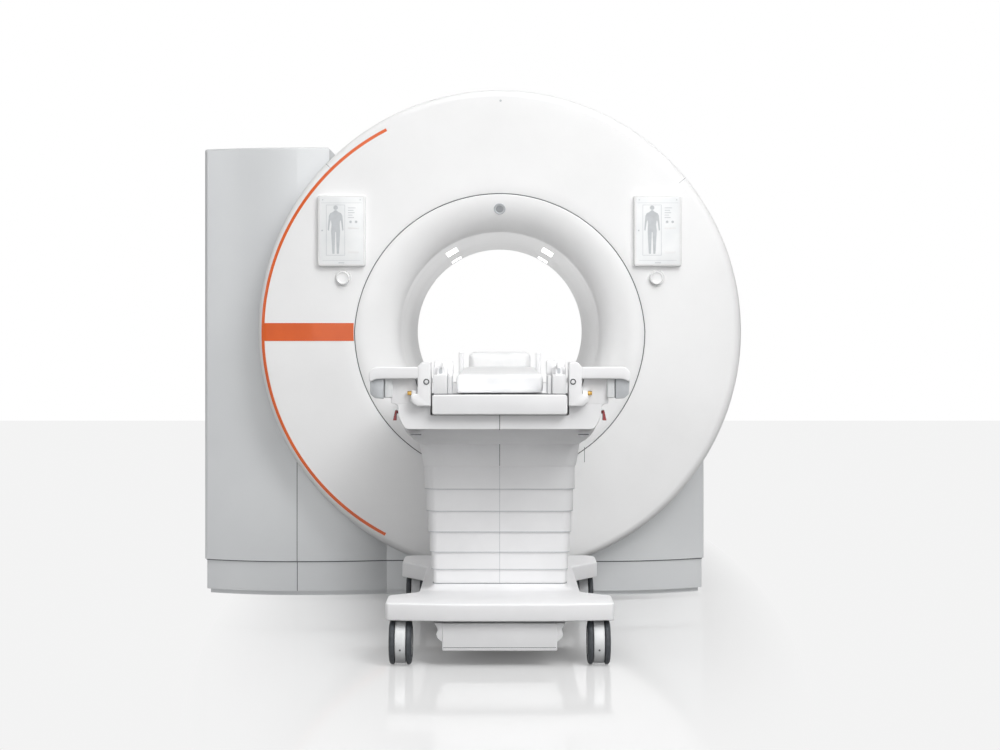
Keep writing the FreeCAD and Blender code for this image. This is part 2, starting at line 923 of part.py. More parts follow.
def outer_corner(x):
    """Tests for the upright edges of a plan's outer corners, at this X."""
    return lambda e: upright(e) and abs(e.CenterOfMass.x - value_of(x)) < 1


def skirt_cover(label, plan, height, outer_x, top_edges=None):
    """A thin cover standing over its plinth, open below and cut back to the round shroud."""
    low = plinth_height + plinth_gap
    body = new_body(label)
    outline = new_sketch(body, "XY", low)
    draw_outline(outline, plan(0))
    pad(body, outline, height - low)
    if outer_x is not None:
        fillet(body, cover_corner, outer_corner(outer_x))
    if top_edges is not None:
        fillet(body, top_rounding, top_edges)
    inside = new_sketch(body, "XY", low)
    draw_outline(inside, plan(skirt_wall))
    pocket(body, inside, height - low - skirt_wall, back=True)
    round_room = new_sketch(body, "XZ", cover_rear)
    draw_circle(round_room, skirt_opening, 0, iso_height)
    pocket(body, round_room, cover_rear * 2)
    return body


def top_front(edge):
    """Tests for the top edges of the column's cover."""
    return (
        abs(edge.BoundBox.ZMin - value_of(column_height)) < 0.5
        and abs(edge.BoundBox.ZMax - value_of(column_height)) < 0.5
    )


column_cover = skirt_cover(
    "left_column_cover", column_plan, column_height, -column_left, top_front
)
below_disc = new_sketch(column_cover, "XZ", cover_rear)
draw_rectangle(
    below_disc,
    -(column_seam + seam_width / 2),
    -(column_right - cover_corner),
    plinth_height,
    iso_height,
)
pocket(column_cover, below_disc, cover_rear * 2)
keep(column_cover)
keep(skirt_cover("left_base_cover", left_base_plan, base_height, None))
keep(skirt_cover("right_base_cover", right_base_plan, base_height, right_edge))


def plinth(label, plan, side, edge):
    """A hollow plinth on the floor, with a set-back toe and a lip inside the cover above."""
    body = new_body(label)
    wide = new_sketch(body, "XY", toe_height)
    draw_outline(wide, plan(plinth_inset))
    pad(body, wide, plinth_height - toe_height)
    fillet(body, cover_corner - plinth_inset, outer_corner((edge - plinth_inset) * side))
    toe = new_sketch(body, "XY", toe_height)
    draw_outline(toe, plan(toe_inset))
    pad(body, toe, toe_height, back=True)
    lip = new_sketch(body, "XY", plinth_height)
    draw_outline(lip, plan(skirt_wall))
    pad(body, lip, lip_height)
    hollow = new_sketch(body, "XY")
    draw_outline(hollow, plan(plinth_inner))
    pocket(body, hollow, back=True)
    return body


keep(plinth("left_plinth", left_plinth_plan, -1, column_left))
keep(plinth("right_plinth", right_base_plan, 1, right_edge))

# ---------------------------------------------------------------- fittings of the magnet
turret = box(
    "turret",
    -(cold_head_place + turret_width / 2),
    -(cold_head_place - turret_width),
    -turret_width / 2,
    turret_width / 2,
    turret_base,
    turret_base + turret_height,
)
cold_head_motor = cylinder(
    "cold_head_motor",
    cold_head_radius,
    cold_head_height,
    -cold_head_place,
    0,
    turret_base + turret_height,
)
turret_seat = cylinder(
    "turret_seat", vessel_radius, vessel_length, 0, -vessel_length / 2, iso_height, "Y"
)
keep(cut("cold_head", fuse("cold_head_solid", [turret, cold_head_motor]), [turret_seat]))

housings = []
screens = []
for side in (-1, 1):
    body = new_body("panel_housing")
    face = new_sketch(body, "XZ", -front_y)
    low = iso_height + panel_rise - panel_height / 2
    draw_rectangle(
        face,
        panel_place * side - panel_width / 2,
        panel_place * side + panel_width / 2,
        low,
        low + panel_height,
    )
    pad(body, face, panel_depth)
    fillet(
        body,
        panel_rounding,
        lambda e: abs(e.CenterOfMass.y - value_of(front_y - panel_depth)) < 1
        or abs(e.CenterOfMass.y - value_of(front_y - panel_depth / 2)) < 1,
    )
    window = new_sketch(body, "XZ", -(front_y - panel_depth))
    screen_low = iso_height + panel_rise + screen_rise - screen_height / 2
    edges = (
        panel_place * side - screen_width / 2,
        panel_place * side + screen_width / 2,
        screen_low,
        screen_low + screen_height,
    )
    draw_rectangle(window, *edges)
    pocket(body, window, screen_thickness)
    housings.append(body)
    screens.append(
        box(
            "screen",
            edges[0],
            edges[1],
            front_y - panel_depth,
            front_y - panel_depth + screen_thickness,
            edges[2],
            edges[3],
        )
    )
keep(group("panel_housings", housings))
keep(group("panel_screens", screens))

for name, side in (("left", -1), ("right", 1)):
    knob = new_body("knob_" + name)
    place(knob, knob_place * side, front_y, iso_height + knob_rise)
    section = new_sketch(knob, "YZ")
    knob_face = -(knob_lift + knob_depth)
    draw_outline(
        section,
        [
            (knob_face, 0),
            (cover_wall * 2, 0),
            (cover_wall * 2, knob_stem),
            (-knob_lift, knob_stem),
            (-knob_lift, knob_radius),
            (knob_face + knob_bevel, knob_radius),
            (knob_face, knob_radius - knob_bevel),
        ],
    )
    revolve(knob, section)
    keep(knob)

receiver_block = box(
    "receiver_block",
    -receiver_width / 2,
    receiver_width / 2,
    front_y - receiver_depth,
    front_y,
    receiver_base,
    receiver_base + receiver_height,
)
receiver_slot = box(
    "receiver_slot",
    -(tongue_width / 2 + tongue_gap),
    tongue_width / 2 + tongue_gap,
    front_y - receiver_depth,
    front_y - receiver_depth + receiver_slot_depth,
    tongue_base - tongue_gap,
    tongue_base + tongue_height + tongue_gap,
)
keep(cut("dock_receiver", receiver_block, [receiver_slot]))


# ---------------------------------------------------------------- the table's base
def base_plan(inset):
    """A dog-bone: a bowed front bumper, a narrow waist and two rear ears."""
    outer = base_half_width - inset
    waist = waist_half_width - inset
    corner = base_corner - inset
    shoulder = outer - corner
    bow_radius = (base_half_width * base_half_width) / (base_front_sweep * 2)
    edge_y = -(base_front - base_front_sweep - inset)
    rear_y_edge = -(base_rear + inset)
    return [
        (-shoulder, edge_y, bow_radius, 1),
        (shoulder, edge_y, corner, 1),
        (outer, edge_y + corner),
        (outer, -(bumper_rear + inset)),
        (waist, -(waist_front + inset)),
        (waist, -(waist_rear - inset)),
        (outer, -(ear_front - inset)),
        (outer, rear_y_edge - corner, corner, 1),
        (shoulder, rear_y_edge),
        (-shoulder, rear_y_edge, corner, 1),
        (-outer, rear_y_edge - corner),
        (-outer, -(ear_front - inset)),
        (-waist, -(waist_rear - inset)),
        (-waist, -(waist_front + inset)),
        (-outer, -(bumper_rear + inset)),
        (-outer, edge_y + corner, corner, 1),
    ]


base_cover = new_body("trolley_base")
base_outline = new_sketch(base_cover, "XY", base_bottom)
draw_outline(base_outline, base_plan(0))
pad(base_cover, base_outline, base_top - base_bottom)
base_inside = new_sketch(base_cover, "XY", base_bottom)
draw_outline(base_inside, base_plan(base_wall))
pocket(base_cover, base_inside, base_top - base_bottom - base_wall, back=True)
shaft_room = new_sketch(base_cover, "XY", base_top)
draw_rectangle(
    shaft_room,
    -tube_half,
    tube_half,
    -(column_front - column_depth / 2) - tube_half,
    -(column_front - column_depth / 2) + tube_half,
)
pocket(base_cover, shaft_room, base_wall * 2)
keep(base_cover)

column_middle = -(column_front - column_depth / 2)
caster_spots = [
    ("front_left", -1, front_swivel),
    ("front_right", 1, front_swivel),
    ("rear_left", -1, rear_swivel),
    ("rear_right", 1, rear_swivel),
]
chassis_top = base_top - base_wall
chassis_steel = fuse(
    "chassis_steel",
    [
        box(
            "chassis_spine",
            -chassis_half_width,
            chassis_half_width,
            -(base_front - chassis_margin - base_front_sweep),
            -(base_rear + chassis_margin),
            base_bottom,
            chassis_top,
        ),
        box(
            "chassis_front_beam",
            -chassis_beam_half,
            chassis_beam_half,
            -front_swivel - chassis_beam_width / 2,
            -front_swivel + chassis_beam_width / 2,
            base_bottom,
            chassis_top,
        ),
        box(
            "chassis_rear_beam",
            -chassis_beam_half,
            chassis_beam_half,
            -rear_swivel - chassis_beam_width / 2,
            -rear_swivel + chassis_beam_width / 2,
            base_bottom,
            chassis_top,
        ),
    ],
)
chassis_holes = [
    box(
        "shaft_hole",
        -tube_half,
        tube_half,
        column_middle - tube_half,
        column_middle + tube_half,
        base_bottom,
        chassis_top,
    )
]
for name, side, swivel in caster_spots:
    chassis_holes.append(
        cylinder(
            "swivel_hole",
            swivel_pin + running_gap,
            swivel_pin_length + seat_gap,
            caster_place * side,
            -swivel,
            base_bottom,
        )
    )
keep(cut("chassis_frame", chassis_steel, chassis_holes))

pan_block = box(
    "pan_block",
    -pan_half_width,
    pan_half_width,
    -pan_front,
    -pan_rear,
    pan_bottom,
    base_bottom,
)
pan_hollow = box(
    "pan_hollow",
    -(pan_half_width - pan_wall),
    pan_half_width - pan_wall,
    -(pan_front - pan_wall),
    -(pan_rear + pan_wall),
    pan_bottom + pan_wall,
    base_bottom,
)
pedal_pin_hole = cylinder(
    "pedal_pin_hole",
    pedal_pin + running_gap,
    pan_half_width * 2,
    -pan_half_width,
    -pedal_pivot,
    pedal_pivot_height,
    along="X",
)
keep(cut("undercarriage_pan", pan_block, [pan_hollow, pedal_pin_hole]))

keep(
    box(
        "dock_tongue",
        -tongue_width / 2,
        tongue_width / 2,
        -base_rear,
        -tongue_tip,
        tongue_base,
        tongue_base + tongue_height,
    )
)

for name, side, swivel in caster_spots:
    wheel_y = -(swivel + caster_trail)
    wheel_z = wheel_diameter / 2
    fender = cylinder(
        "fender",
        fender_radius,
        fender_half_width * 2,
        caster_place * side - fender_half_width,
        wheel_y,
        wheel_z,
        along="X",
    )
    stem = box(
        "stem",
        caster_place * side - fender_half_width,
        caster_place * side + fender_half_width,
        -swivel - stem_depth / 2,
        -swivel + stem_depth / 2,
        wheel_z,
        base_bottom - seat_gap,
    )
    pin = cylinder(
        "swivel_pin",
        swivel_pin,
        swivel_pin_length,
        caster_place * side,
        -swivel,
        base_bottom - seat_gap,
    )
    axle_hole = cylinder(
        "axle_hole",
        axle_radius + running_gap,
        fender_half_width * 2,
        caster_place * side - fender_half_width,
        wheel_y,
        wheel_z,
        along="X",
    )
    fork = fuse("fork_solid", [fender, stem, pin])
    keep(cut("caster_fork_" + name, fork, [axle_hole]))

    wheels = doc.addObject("PartDesign::Body", "wheels")
    wheels.Label = "caster_wheels_" + name
    place(wheels, caster_place * side, wheel_y, wheel_z)
    profile = new_sketch(wheels, "XZ")
    rim = wheel_diameter / 2
    draw_outline(
        profile,
        [
            (-wheel_half_width, 0),
            (wheel_half_width, 0),
            (wheel_half_width, rim - wheel_rounding),
            (wheel_half_width - wheel_rounding, rim),
            (wheel_inner, rim),
            (wheel_inner, axle_radius),
            (-wheel_inner, axle_radius),
            (-wheel_inner, rim),
            (-(wheel_half_width - wheel_rounding), rim),
            (-wheel_half_width, rim - wheel_rounding),
        ],
    )
    revolve(wheels, profile)
    keep(wheels)

pedal_pieces = [
    box(
        "pedal_plate",
        -pedal_half_width,
        pedal_half_width,
        -pedal_front,
        -pedal_front + pedal_thickness,
        pedal_bottom,
        base_bottom - pedal_drop,
    ),
    cylinder(
        "pedal_pivot_pin",
        pedal_pin,
        pedal_arm_outer * 2,
        -pedal_arm_outer,
        -pedal_pivot,
        pedal_pivot_height,
        along="X",
    ),
]
for side in (-1, 1):
    inner_face = pedal_arm_outer - pedal_arm_width
    left = inner_face if side > 0 else -pedal_arm_outer
    right = pedal_arm_outer if side > 0 else -inner_face
    pedal_pieces.append(
        box(
            "pedal_arm",
            left,
            right,
            -pedal_front,
            -pedal_pivot,
            pedal_pivot_height - pedal_eye,
            pedal_pivot_height + pedal_eye / 2,
        )
    )
    pedal_pieces.append(
        cylinder(
            "pedal_arm_eye",
            pedal_eye,
            pedal_arm_width,
            left,
            -pedal_pivot,
            pedal_pivot_height,
            along="X",
        )
    )
    link_left = pedal_half_width - pedal_thickness if side > 0 else -pedal_arm_outer
    link_right = pedal_arm_outer if side > 0 else -(pedal_half_width - pedal_thickness)
    pedal_pieces.append(
        box(
            "pedal_corner",
            link_left,
            link_right,
            -pedal_front,
            -pedal_front + pedal_thickness * 2,
            pedal_pivot_height - pedal_eye,
            pedal_pivot_height + pedal_eye / 2,
        )
    )
keep(fuse("brake_pedal", pedal_pieces))


# ---------------------------------------------------------------- the lift
def square_tube(label, half, wall, low, high):
    """A square lift tube round the column's axis."""
    body = new_body(label)
    outline = new_sketch(body, "XY", low)
    for reach in (half, half - wall):
        draw_rectangle(
            outline, -reach, reach, column_middle - reach, column_middle + reach
        )
    pad(body, outline, high - low)
    return body


stage_step = tube_wall + tube_gap
keep(square_tube("lift_tube_lower", tube_half, tube_wall, tube_foot, lower_tube_top))
keep(
    square_tube(
        "lift_tube_middle",
        tube_half - stage_step,
        tube_wall,
        middle_tube_bottom,
        middle_tube_top,
    )
)
keep(
    square_tube(
        "lift_tube_upper",
        tube_half - stage_step * 2,
        tube_wall,
        upper_tube_bottom,
        carrier_ceiling,
    )
)


def rounded_plan(sketch, half_width, front, rear, corner):
    """A rectangle with round corners."""
    left, right = -half_width, half_width
    draw_outline(
        sketch,
        [
            (left + corner, front),
            (right - corner, front, corner, 1),
            (right, front + corner),
            (right, rear - corner, corner, 1),
            (right - corner, rear),
            (left + corner, rear, corner, 1),
            (left, rear - corner),
            (left, front + corner, corner, 1),
        ],
    )


tops = [neck_bottom] + [bottom + segment_lap for bottom in segment_bottoms[:-1]]
for number in range(6):
    inset = cover_step * number
    segment = new_body("column_cover_%d" % (number + 1))
    outline = new_sketch(segment, "XY", segment_bottoms[number])
    for wall in (0, segment_wall):
        rounded_plan(
            outline,
            column_half_width - inset - wall,
            -column_front + inset + wall,
            -(column_front - column_depth) - inset - wall,
            segment_corner - inset - wall,
        )
    pad(segment, outline, tops[number] - segment_bottoms[number])
    keep(segment)

neck = new_body("neck_cover")
neck_outline = new_sketch(neck, "XY", neck_bottom)
rounded_plan(
    neck_outline,
    neck_half_width,
    -column_front - seam_width,
    -(column_front - column_depth) + seam_width,
    segment_corner,
)
pad(neck, neck_outline, neck_top - neck_bottom, taper=neck_flare)
neck_inside = new_sketch(neck, "XY", neck_bottom)
rounded_plan(
    neck_inside,
    neck_half_width - neck_wall,
    -column_front - seam_width + neck_wall,
    -(column_front - column_depth) + seam_width - neck_wall,
    segment_corner - neck_wall,
)
pocket(neck, neck_inside, back=True)
keep(neck)

# ---------------------------------------------------------------- the carrier
carrier = new_body("carrier_plain")
carrier_section = new_sketch(carrier, "XZ", carrier_rear)
channel_half = tabletop_half + channel_gap
channel_floor = tabletop_bottom - seat_gap
right_half = [
    (carrier_foot_half, neck_top),
    (carrier_knee_half, carrier_knee),
    (carrier_deck_half, carrier_deck),
    (channel_half, carrier_deck),
    (channel_half, channel_floor),
]
draw_outline(carrier_section, right_half + [(-x, z) for x, z in reversed(right_half)])
pad(carrier, carrier_section, carrier_front - carrier_rear)
belly_cut = new_sketch(carrier, "YZ")
draw_outline(
    belly_cut,
    [
        (-carrier_front - cover_wall, carrier_knee),
        (-carrier_front, carrier_knee),
        (-(carrier_front - carrier_slope), neck_top),
        (-(carrier_front - carrier_slope), neck_top - cover_wall),
        (-carrier_front - cover_wall, neck_top - cover_wall),
    ],
)
pocket(carrier, belly_cut, carrier_deck_half * 2, both=True)
tail_cut = new_sketch(carrier, "YZ")
draw_outline(
    tail_cut,
    [
        (-carrier_rear, carrier_knee),
        (-carrier_rear + cover_wall, carrier_knee),
        (-carrier_rear + cover_wall, neck_top - cover_wall),
        (-(carrier_rear + carrier_slope), neck_top - cover_wall),
        (-(carrier_rear + carrier_slope), neck_top),
    ],
)
pocket(carrier, tail_cut, carrier_deck_half * 2, both=True)
hollow = new_sketch(carrier, "XY", neck_top)
draw_rectangle(
    hollow,
    -carrier_hollow_half,
    carrier_hollow_half,
    -(carrier_front - carrier_slope) + cover_wall,
    -(carrier_rear + carrier_slope) - cover_wall,
)
pocket(carrier, hollow, carrier_ceiling - neck_top, back=True)
lever_holes = [
    cylinder(
        "lever_hole",
        lever_pin + running_gap,
        lever_inner - lever_pin_inner,
        lever_pin_inner if side > 0 else -lever_inner,
        -lever_place,
        lever_pivot_height,
        along="X",
    )
    for side in (-1, 1)
]
keep(cut("carrier_shell", carrier, lever_holes))


def mirrored_box(label, side, near, far, *planes):
    """A block between two distances from the middle plane, on one side of it."""
    left = near if side > 0 else -far
    right = far if side > 0 else -near
    return box(label, left, right, *planes)


brackets = []
for side in (-1, 1):
    post = mirrored_box(
        "bracket_block",
        side,
        channel_half,
        bracket_outer,
        -bracket_front,
        -bracket_rear,
        carrier_deck,
        bracket_top,
    )
    foot = mirrored_box(
        "bracket_foot",
        side,
        channel_half,
        foot_block_outer,
        -bracket_front,
        -carrier_front,
        foot_block_bottom,
        carrier_deck,
    )
    brackets.append(fuse("bracket_%d" % side, [post, foot]))
keep(group("handle_brackets", brackets))

for name, side in (("left", -1), ("right", 1)):
    bar = mirrored_box(
        "handle_bar",
        side,
        bracket_outer,
        handle_outer,
        -bracket_front,
        -bracket_front + handle_bar_depth,
        handle_bar_bottom,
        handle_top,
    )
    rail = mirrored_box(
        "handle_rail",
        side,
        handle_rail_inner,
        handle_outer,
        -bracket_front,
        -handle_rail_rear,
        handle_rail_bottom,
        handle_top,
    )
    grip = mirrored_box(
        "handle_grip",
        side,
        handle_rail_inner,
        handle_outer,
        -bracket_front,
        -bracket_front + handle_grip_depth,
        handle_grip_bottom,
        handle_rail_bottom,
    )
    keep(fuse("push_handle_" + name, [bar, rail, grip]))

for name, side in (("left", -1), ("right", 1)):
    body = new_body("release_lever_" + name)
    section = new_sketch(body, "XZ", lever_place - lever_length / 2)
    top = lever_pivot_height + lever_rise
    bottom = lever_pivot_height - lever_drop
    corners = [
        (lever_inner, bottom),
        (lever_inner + lever_bottom_thickness, bottom),
        (lever_inner + lever_top_thickness, top),
        (lever_inner, top),
    ]
    if side < 0:
        corners = [(-x, z) for x, z in reversed(corners)]
    draw_outline(section, corners)
    pad(body, section, lever_length)
    pin = cylinder(
        "lever_pivot_pin",
        lever_pin,
        lever_inner - lever_pin_inner,
        lever_pin_inner if side > 0 else -lever_inner,
        -lever_place,
        lever_pivot_height,
        along="X",
    )
    body.Label = "lever_paddle_" + name
    keep(fuse("release_lever_" + name + "_whole", [body, pin])).Label = "release_lever_" + name

# ---------------------------------------------------------------- the tabletop
tabletop = new_body("tabletop")
board = new_sketch(tabletop, "XZ", tabletop_rear)
draw_outline(
    board,
    [
        (-(tabletop_half - tabletop_chamfer), tabletop_bottom),
        (tabletop_half - tabletop_chamfer, tabletop_bottom),
        (tabletop_half, tabletop_bottom + tabletop_chamfer),
        (tabletop_half, tabletop_top),
        (-tabletop_half, tabletop_top),
        (-tabletop_half, tabletop_bottom + tabletop_chamfer),
    ],
)
pad(tabletop, board, tabletop_front - tabletop_rear)
keep(tabletop)


def cushion(label, half, front, rear, low, high, rounding):
    """A soft block with rounded upright corners."""
    body = new_body(label)
    outline = new_sketch(body, "XY", low)
    draw_rectangle(outline, -half, half, -front, -rear)
    pad(body, outline, high - low)
    fillet(body, rounding, upright)
    return body


keep(
    cushion(
        "mattress",
        mattress_half,
        mattress_front,
        mattress_rear,
        tabletop_top,
        mattress_top,
        mattress_rounding,
    )
)
keep(
    cushion(
        "headrest",
        headrest_half,
        headrest_front,
        headrest_rear,
        tabletop_top,
        headrest_top,
        mattress_rounding,
    )
)
sockets = []
for side in (-1, 1):
    block = mirrored_box(
        "socket_block",
        side,
        socket_inner,
        socket_outer,
        -socket_front,
        -socket_rear,
        tabletop_top,
        socket_top,
    )
    post_inner = (socket_inner + socket_outer) / 2 - post_width / 2
    post = mirrored_box(
        "socket_post",
        side,
        post_inner,
        post_inner + post_width,
        -socket_front + post_depth,
        -socket_front + post_depth * 2,
        socket_top,
        post_top,
    )
    sockets.append(fuse("socket_%d" % side, [block, post]))
keep(group("coil_sockets", sockets))

# ---------------------------------------------------------------- check and write
doc.recompute()
for thing in doc.Objects:
    if "Invalid" in thing.State or "Error" in thing.State:
        raise RuntimeError("%s failed: %s" % (thing.Label, thing.State))
labels = [thing.Label for thing in sub_parts]
if len(set(labels)) != len(labels):
    raise RuntimeError("two sub-parts share a name")
for thing in sub_parts:
    if thing.Shape.isNull() or not thing.Shape.isValid():
        raise RuntimeError("%s has no valid shape" % thing.Label)
os.makedirs("parts", exist_ok=True)
for thing in sub_parts:
    thing.Shape.exportStep(os.path.join("parts", thing.Label + ".step"))
print("%d sub-parts written" % len(sub_parts))
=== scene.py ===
"""Looks of a wide-bore MRI scanner with a dockable patient table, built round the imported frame."""

import json
import math

import bmesh
import bpy
import numpy as np
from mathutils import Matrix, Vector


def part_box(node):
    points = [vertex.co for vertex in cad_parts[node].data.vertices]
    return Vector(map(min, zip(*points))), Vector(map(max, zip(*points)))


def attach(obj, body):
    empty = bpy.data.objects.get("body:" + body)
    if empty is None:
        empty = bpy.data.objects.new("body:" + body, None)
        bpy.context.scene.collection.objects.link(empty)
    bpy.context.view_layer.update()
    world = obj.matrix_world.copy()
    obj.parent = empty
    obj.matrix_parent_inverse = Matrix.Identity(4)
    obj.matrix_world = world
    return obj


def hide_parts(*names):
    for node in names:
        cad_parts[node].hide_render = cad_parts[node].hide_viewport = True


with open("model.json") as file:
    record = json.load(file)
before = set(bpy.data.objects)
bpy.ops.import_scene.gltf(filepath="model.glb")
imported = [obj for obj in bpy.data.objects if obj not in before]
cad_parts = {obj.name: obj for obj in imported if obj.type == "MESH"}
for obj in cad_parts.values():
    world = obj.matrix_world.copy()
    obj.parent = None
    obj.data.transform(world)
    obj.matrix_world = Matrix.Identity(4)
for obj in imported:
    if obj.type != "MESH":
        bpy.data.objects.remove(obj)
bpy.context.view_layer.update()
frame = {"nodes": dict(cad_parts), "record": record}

bl_info = {"name": "MRI scanner", "version": (1, 0, 0), "blender": (4, 5, 0),
    "location": "View3D > Sidebar > Scanner",
    "description": "Builds the covers, fittings and patient table of an MRI scanner",
    "category": "Add Mesh"}

# places read from the frame, in metres
COVER_LOW, COVER_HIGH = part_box("front_cover")
AXIS_Z = (COVER_LOW.z + COVER_HIGH.z) / 2
DISC_RADIUS = (COVER_HIGH.z - COVER_LOW.z) / 2
FACE_Y = COVER_LOW.y
REAR_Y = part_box("rear_cover")[1].y
THROAT_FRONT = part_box("bore_liner")[0].y
THROAT_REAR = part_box("bore_liner")[1].y

BORE_RADIUS = 0.4
COVER_WALL = 0.006
RIM_ROUNDING = 0.032
RIM_DEPTH = 0.15
FLAT_RADIUS = DISC_RADIUS - RIM_ROUNDING
SEAM_RADIUS = 0.577
SEAM_TOP = 0.548
FUNNEL_CURVE = 0.145
SIDES = (("left", -1), ("right", 1))
CASTERS = (("front_left", -1), ("front_right", 1), ("rear_left", -1), ("rear_right", 1))


# ---------------------------------------------------------------- arrays and shapes
def linear(colour):
    """An sRGB hex value as linear red, green, blue and alpha."""
    parts = np.array([int(colour[i : i + 2], 16) for i in (1, 3, 5)]) / 255
    parts = np.where(parts <= 0.04045, parts / 12.92, ((parts + 0.055) / 1.055) ** 2.4)
    return (*parts.tolist(), 1.0)


def grid_faces(rows, columns, wrap_rows=False, wrap_columns=True):
    """Quads that join each point of a grid to the next row and the next column."""
    r = np.arange(rows if wrap_rows else rows - 1)
    c = np.arange(columns if wrap_columns else columns - 1)
    a, b = np.meshgrid(r, c, indexing="ij")
    a_next, b_next = (a + 1) % rows, (b + 1) % columns
    corners = (a * columns + b, a * columns + b_next, a_next * columns + b_next,
        a_next * columns + b)
    return np.stack(corners, axis=-1).reshape(-1, 4).tolist()


def loft(rows, closed=False):
    """Rings of points joined in order; flat ends close it, or the last ring meets the first."""
    rows = np.asarray(rows, float)
    count, around = rows.shape[:2]
    faces = grid_faces(count, around, wrap_rows=closed)
    if not closed:
        faces.append(list(range(around))[::-1])
        faces.append(list(range((count - 1) * around, count * around)))
    return rows.reshape(-1, 3), faces


def thick_sheet(front, back):
    """Two facing grids of points with their four edges joined."""
    front, back = np.asarray(front, float), np.asarray(back, float)
    rows, columns = front.shape[:2]
    size = rows * columns
    faces = grid_faces(rows, columns, wrap_columns=False)
    faces += [[i + size for i in reversed(face)] for face in faces]
    index = np.arange(size).reshape(rows, columns)
    edge = np.concatenate([index[0, :-1], index[:-1, -1], index[-1, :0:-1], index[:0:-1, 0]])
    following = np.roll(edge, -1)
    faces += np.stack([following, edge, edge + size, following + size], axis=1).tolist()
    return np.concatenate([front.reshape(-1, 3), back.reshape(-1, 3)]), faces


def merged(*shapes):
    """Several shapes as one list of points and one of faces."""
    points, faces, start = [], [], 0
    for verts, polygons in shapes:
        points.append(verts)
        faces += [[i + start for i in polygon] for polygon in polygons]
        start += len(verts)
    return np.concatenate(points), faces


def rounded_outline(corners, steps=6):
    """A closed outline through (a, b, radius) corners, each an arc tangent to its two sides."""
    points = np.array([c[:2] for c in corners], float)
    radii = [c[2] if len(c) > 2 else 0.0 for c in corners]
    parts = []
    for i, radius in enumerate(radii):
        here = points[i]
        back = points[i - 1] - here
        on = points[(i + 1) % len(points)] - here
        room = 0.46 * min(np.linalg.norm(back), np.linalg.norm(on))
        back, on = back / np.linalg.norm(back), on / np.linalg.norm(on)
        if radius <= 0:
            parts.append(here[None])
            continue
        half = math.acos(max(-1.0, min(1.0, float(back @ on)))) / 2
        radius = min(radius, room * math.tan(half))
        middle = back + on
        centre = here + middle / np.linalg.norm(middle) * (radius / math.sin(half))
        start = here + back * (radius / math.tan(half)) - centre
        turn = (math.pi - half * 2) * np.sign(on[0] * back[1] - on[1] * back[0])
        a = np.linspace(0, turn, steps + 1)
        cos, sin = np.cos(a), np.sin(a)
        arc = np.stack([start[0] * cos - start[1] * sin, start[0] * sin + start[1] * cos], 1)
        parts.append(centre + arc)
    return np.concatenate(parts)


def rectangle(low, high, corner, steps=6):
    """A rectangle between two (a, b) corners, with its own corners rounded."""
    return rounded_outline([(low[0], low[1], corner), (high[0], low[1], corner),
        (high[0], high[1], corner), (low[0], high[1], corner)], steps)


def inset(outline, distance):
    """The outline moved inwards: each point goes along the mean of its two sides' normals."""
    on = np.roll(outline, -1, axis=0) - outline
    on /= np.linalg.norm(on, axis=1, keepdims=True) + 1e-12
    normal = np.stack([-on[:, 1], on[:, 0]], axis=1)
    area = np.sum(outline[:, 0] * np.roll(outline[:, 1], -1) - outline[:,
        1] * np.roll(outline[:, 0], -1))
    mean = (normal + np.roll(normal, 1, axis=0)) / 2
    mean /= np.sum(mean * mean, axis=1, keepdims=True) + 1e-12
    return outline + mean * distance * np.sign(area)


def shrunk(outline, share):
    """The outline drawn smaller about its own middle."""
    centre = outline.mean(axis=0)
    return centre + (outline - centre) * share


def placed(outline, level, axis):
    """An outline's points in space, at one level along the axis across it."""
    flat = np.full(len(outline), level)
    a, b = outline[:, 0], outline[:, 1]
    columns = {"z": (a, b, flat), "y": (a, flat, b), "x": (flat, a, b)}[axis]
    return np.stack(columns, axis=1)


def slab(outline, levels, axis="z", closed=False):
    """An outline carried across the axis through (inset, level) pairs."""
    return loft([placed(inset(outline, depth), level, axis) for depth, level in levels], closed)


def soft_levels(low, high, low_round, high_round, steps=4):
    """Inset and level pairs of a straight wall with a quarter circle at each end."""
    a = np.linspace(0, math.pi / 2, steps + 1)
    rise = [(low_round * (1 - math.sin(t)), low + low_round * (1 - math.cos(t))) for t in a]
    fall = [(high_round * (1 - math.sin(t)), high - high_round * (1 - math.cos(t)))
        for t in a[::-1]]
    return rise + fall


def block(low, high, rounding=0.004, corner=None, axis="z"):
    """A box with rounded edges, laid across one axis."""
    order = {"z": (0, 1, 2), "y": (0, 2, 1), "x": (1, 2, 0)}[axis]
    a, b, c = order
    corner = rounding * 1.2 if corner is None else corner
    outline = rectangle((low[a], low[b]), (high[a], high[b]), corner, 5)
    return slab(outline, soft_levels(low[c], high[c], rounding, rounding, 3), axis)


def both_sides(low, high, rounding=0.004, corner=None, axis="z"):
    """A rounded box and its mirror across the middle plane."""
    other = ((-high[0], low[1], low[2]), (-low[0], high[1], high[2]))
    return merged(block(low, high, rounding, corner, axis), block(*other, rounding, corner, axis))


def turned(profile, centre, axis=(0, -1, 0), steps=48):
    """A (radius, height) profile turned about an axis through the centre."""
    profile = np.asarray(profile, float)
    axis = np.array(axis, float) / np.linalg.norm(axis)
    helper = np.array([1.0, 0, 0]) if abs(axis[0]) < 0.9 else np.array([0, 0, 1.0])
    first = np.cross(axis, helper)
    first /= np.linalg.norm(first)
    second = np.cross(axis, first)
    a = np.linspace(0, math.tau, steps, endpoint=False)
    spoke = np.cos(a)[:, None] * first + np.sin(a)[:, None] * second
    rows = profile[:, :1, None] * spoke[None] + profile[:, 1, None, None] * axis + np.array(centre)
    return loft(rows)


def mirrored(shape):
    """The shape on the other side of the middle plane, with its faces turned to point outwards."""
    points, faces = shape
    return points * np.array([-1.0, 1.0, 1.0]), [face[::-1] for face in faces]


def pair(shape):
    """The shape and its mirror image as one."""
    return merged(shape, mirrored(shape))


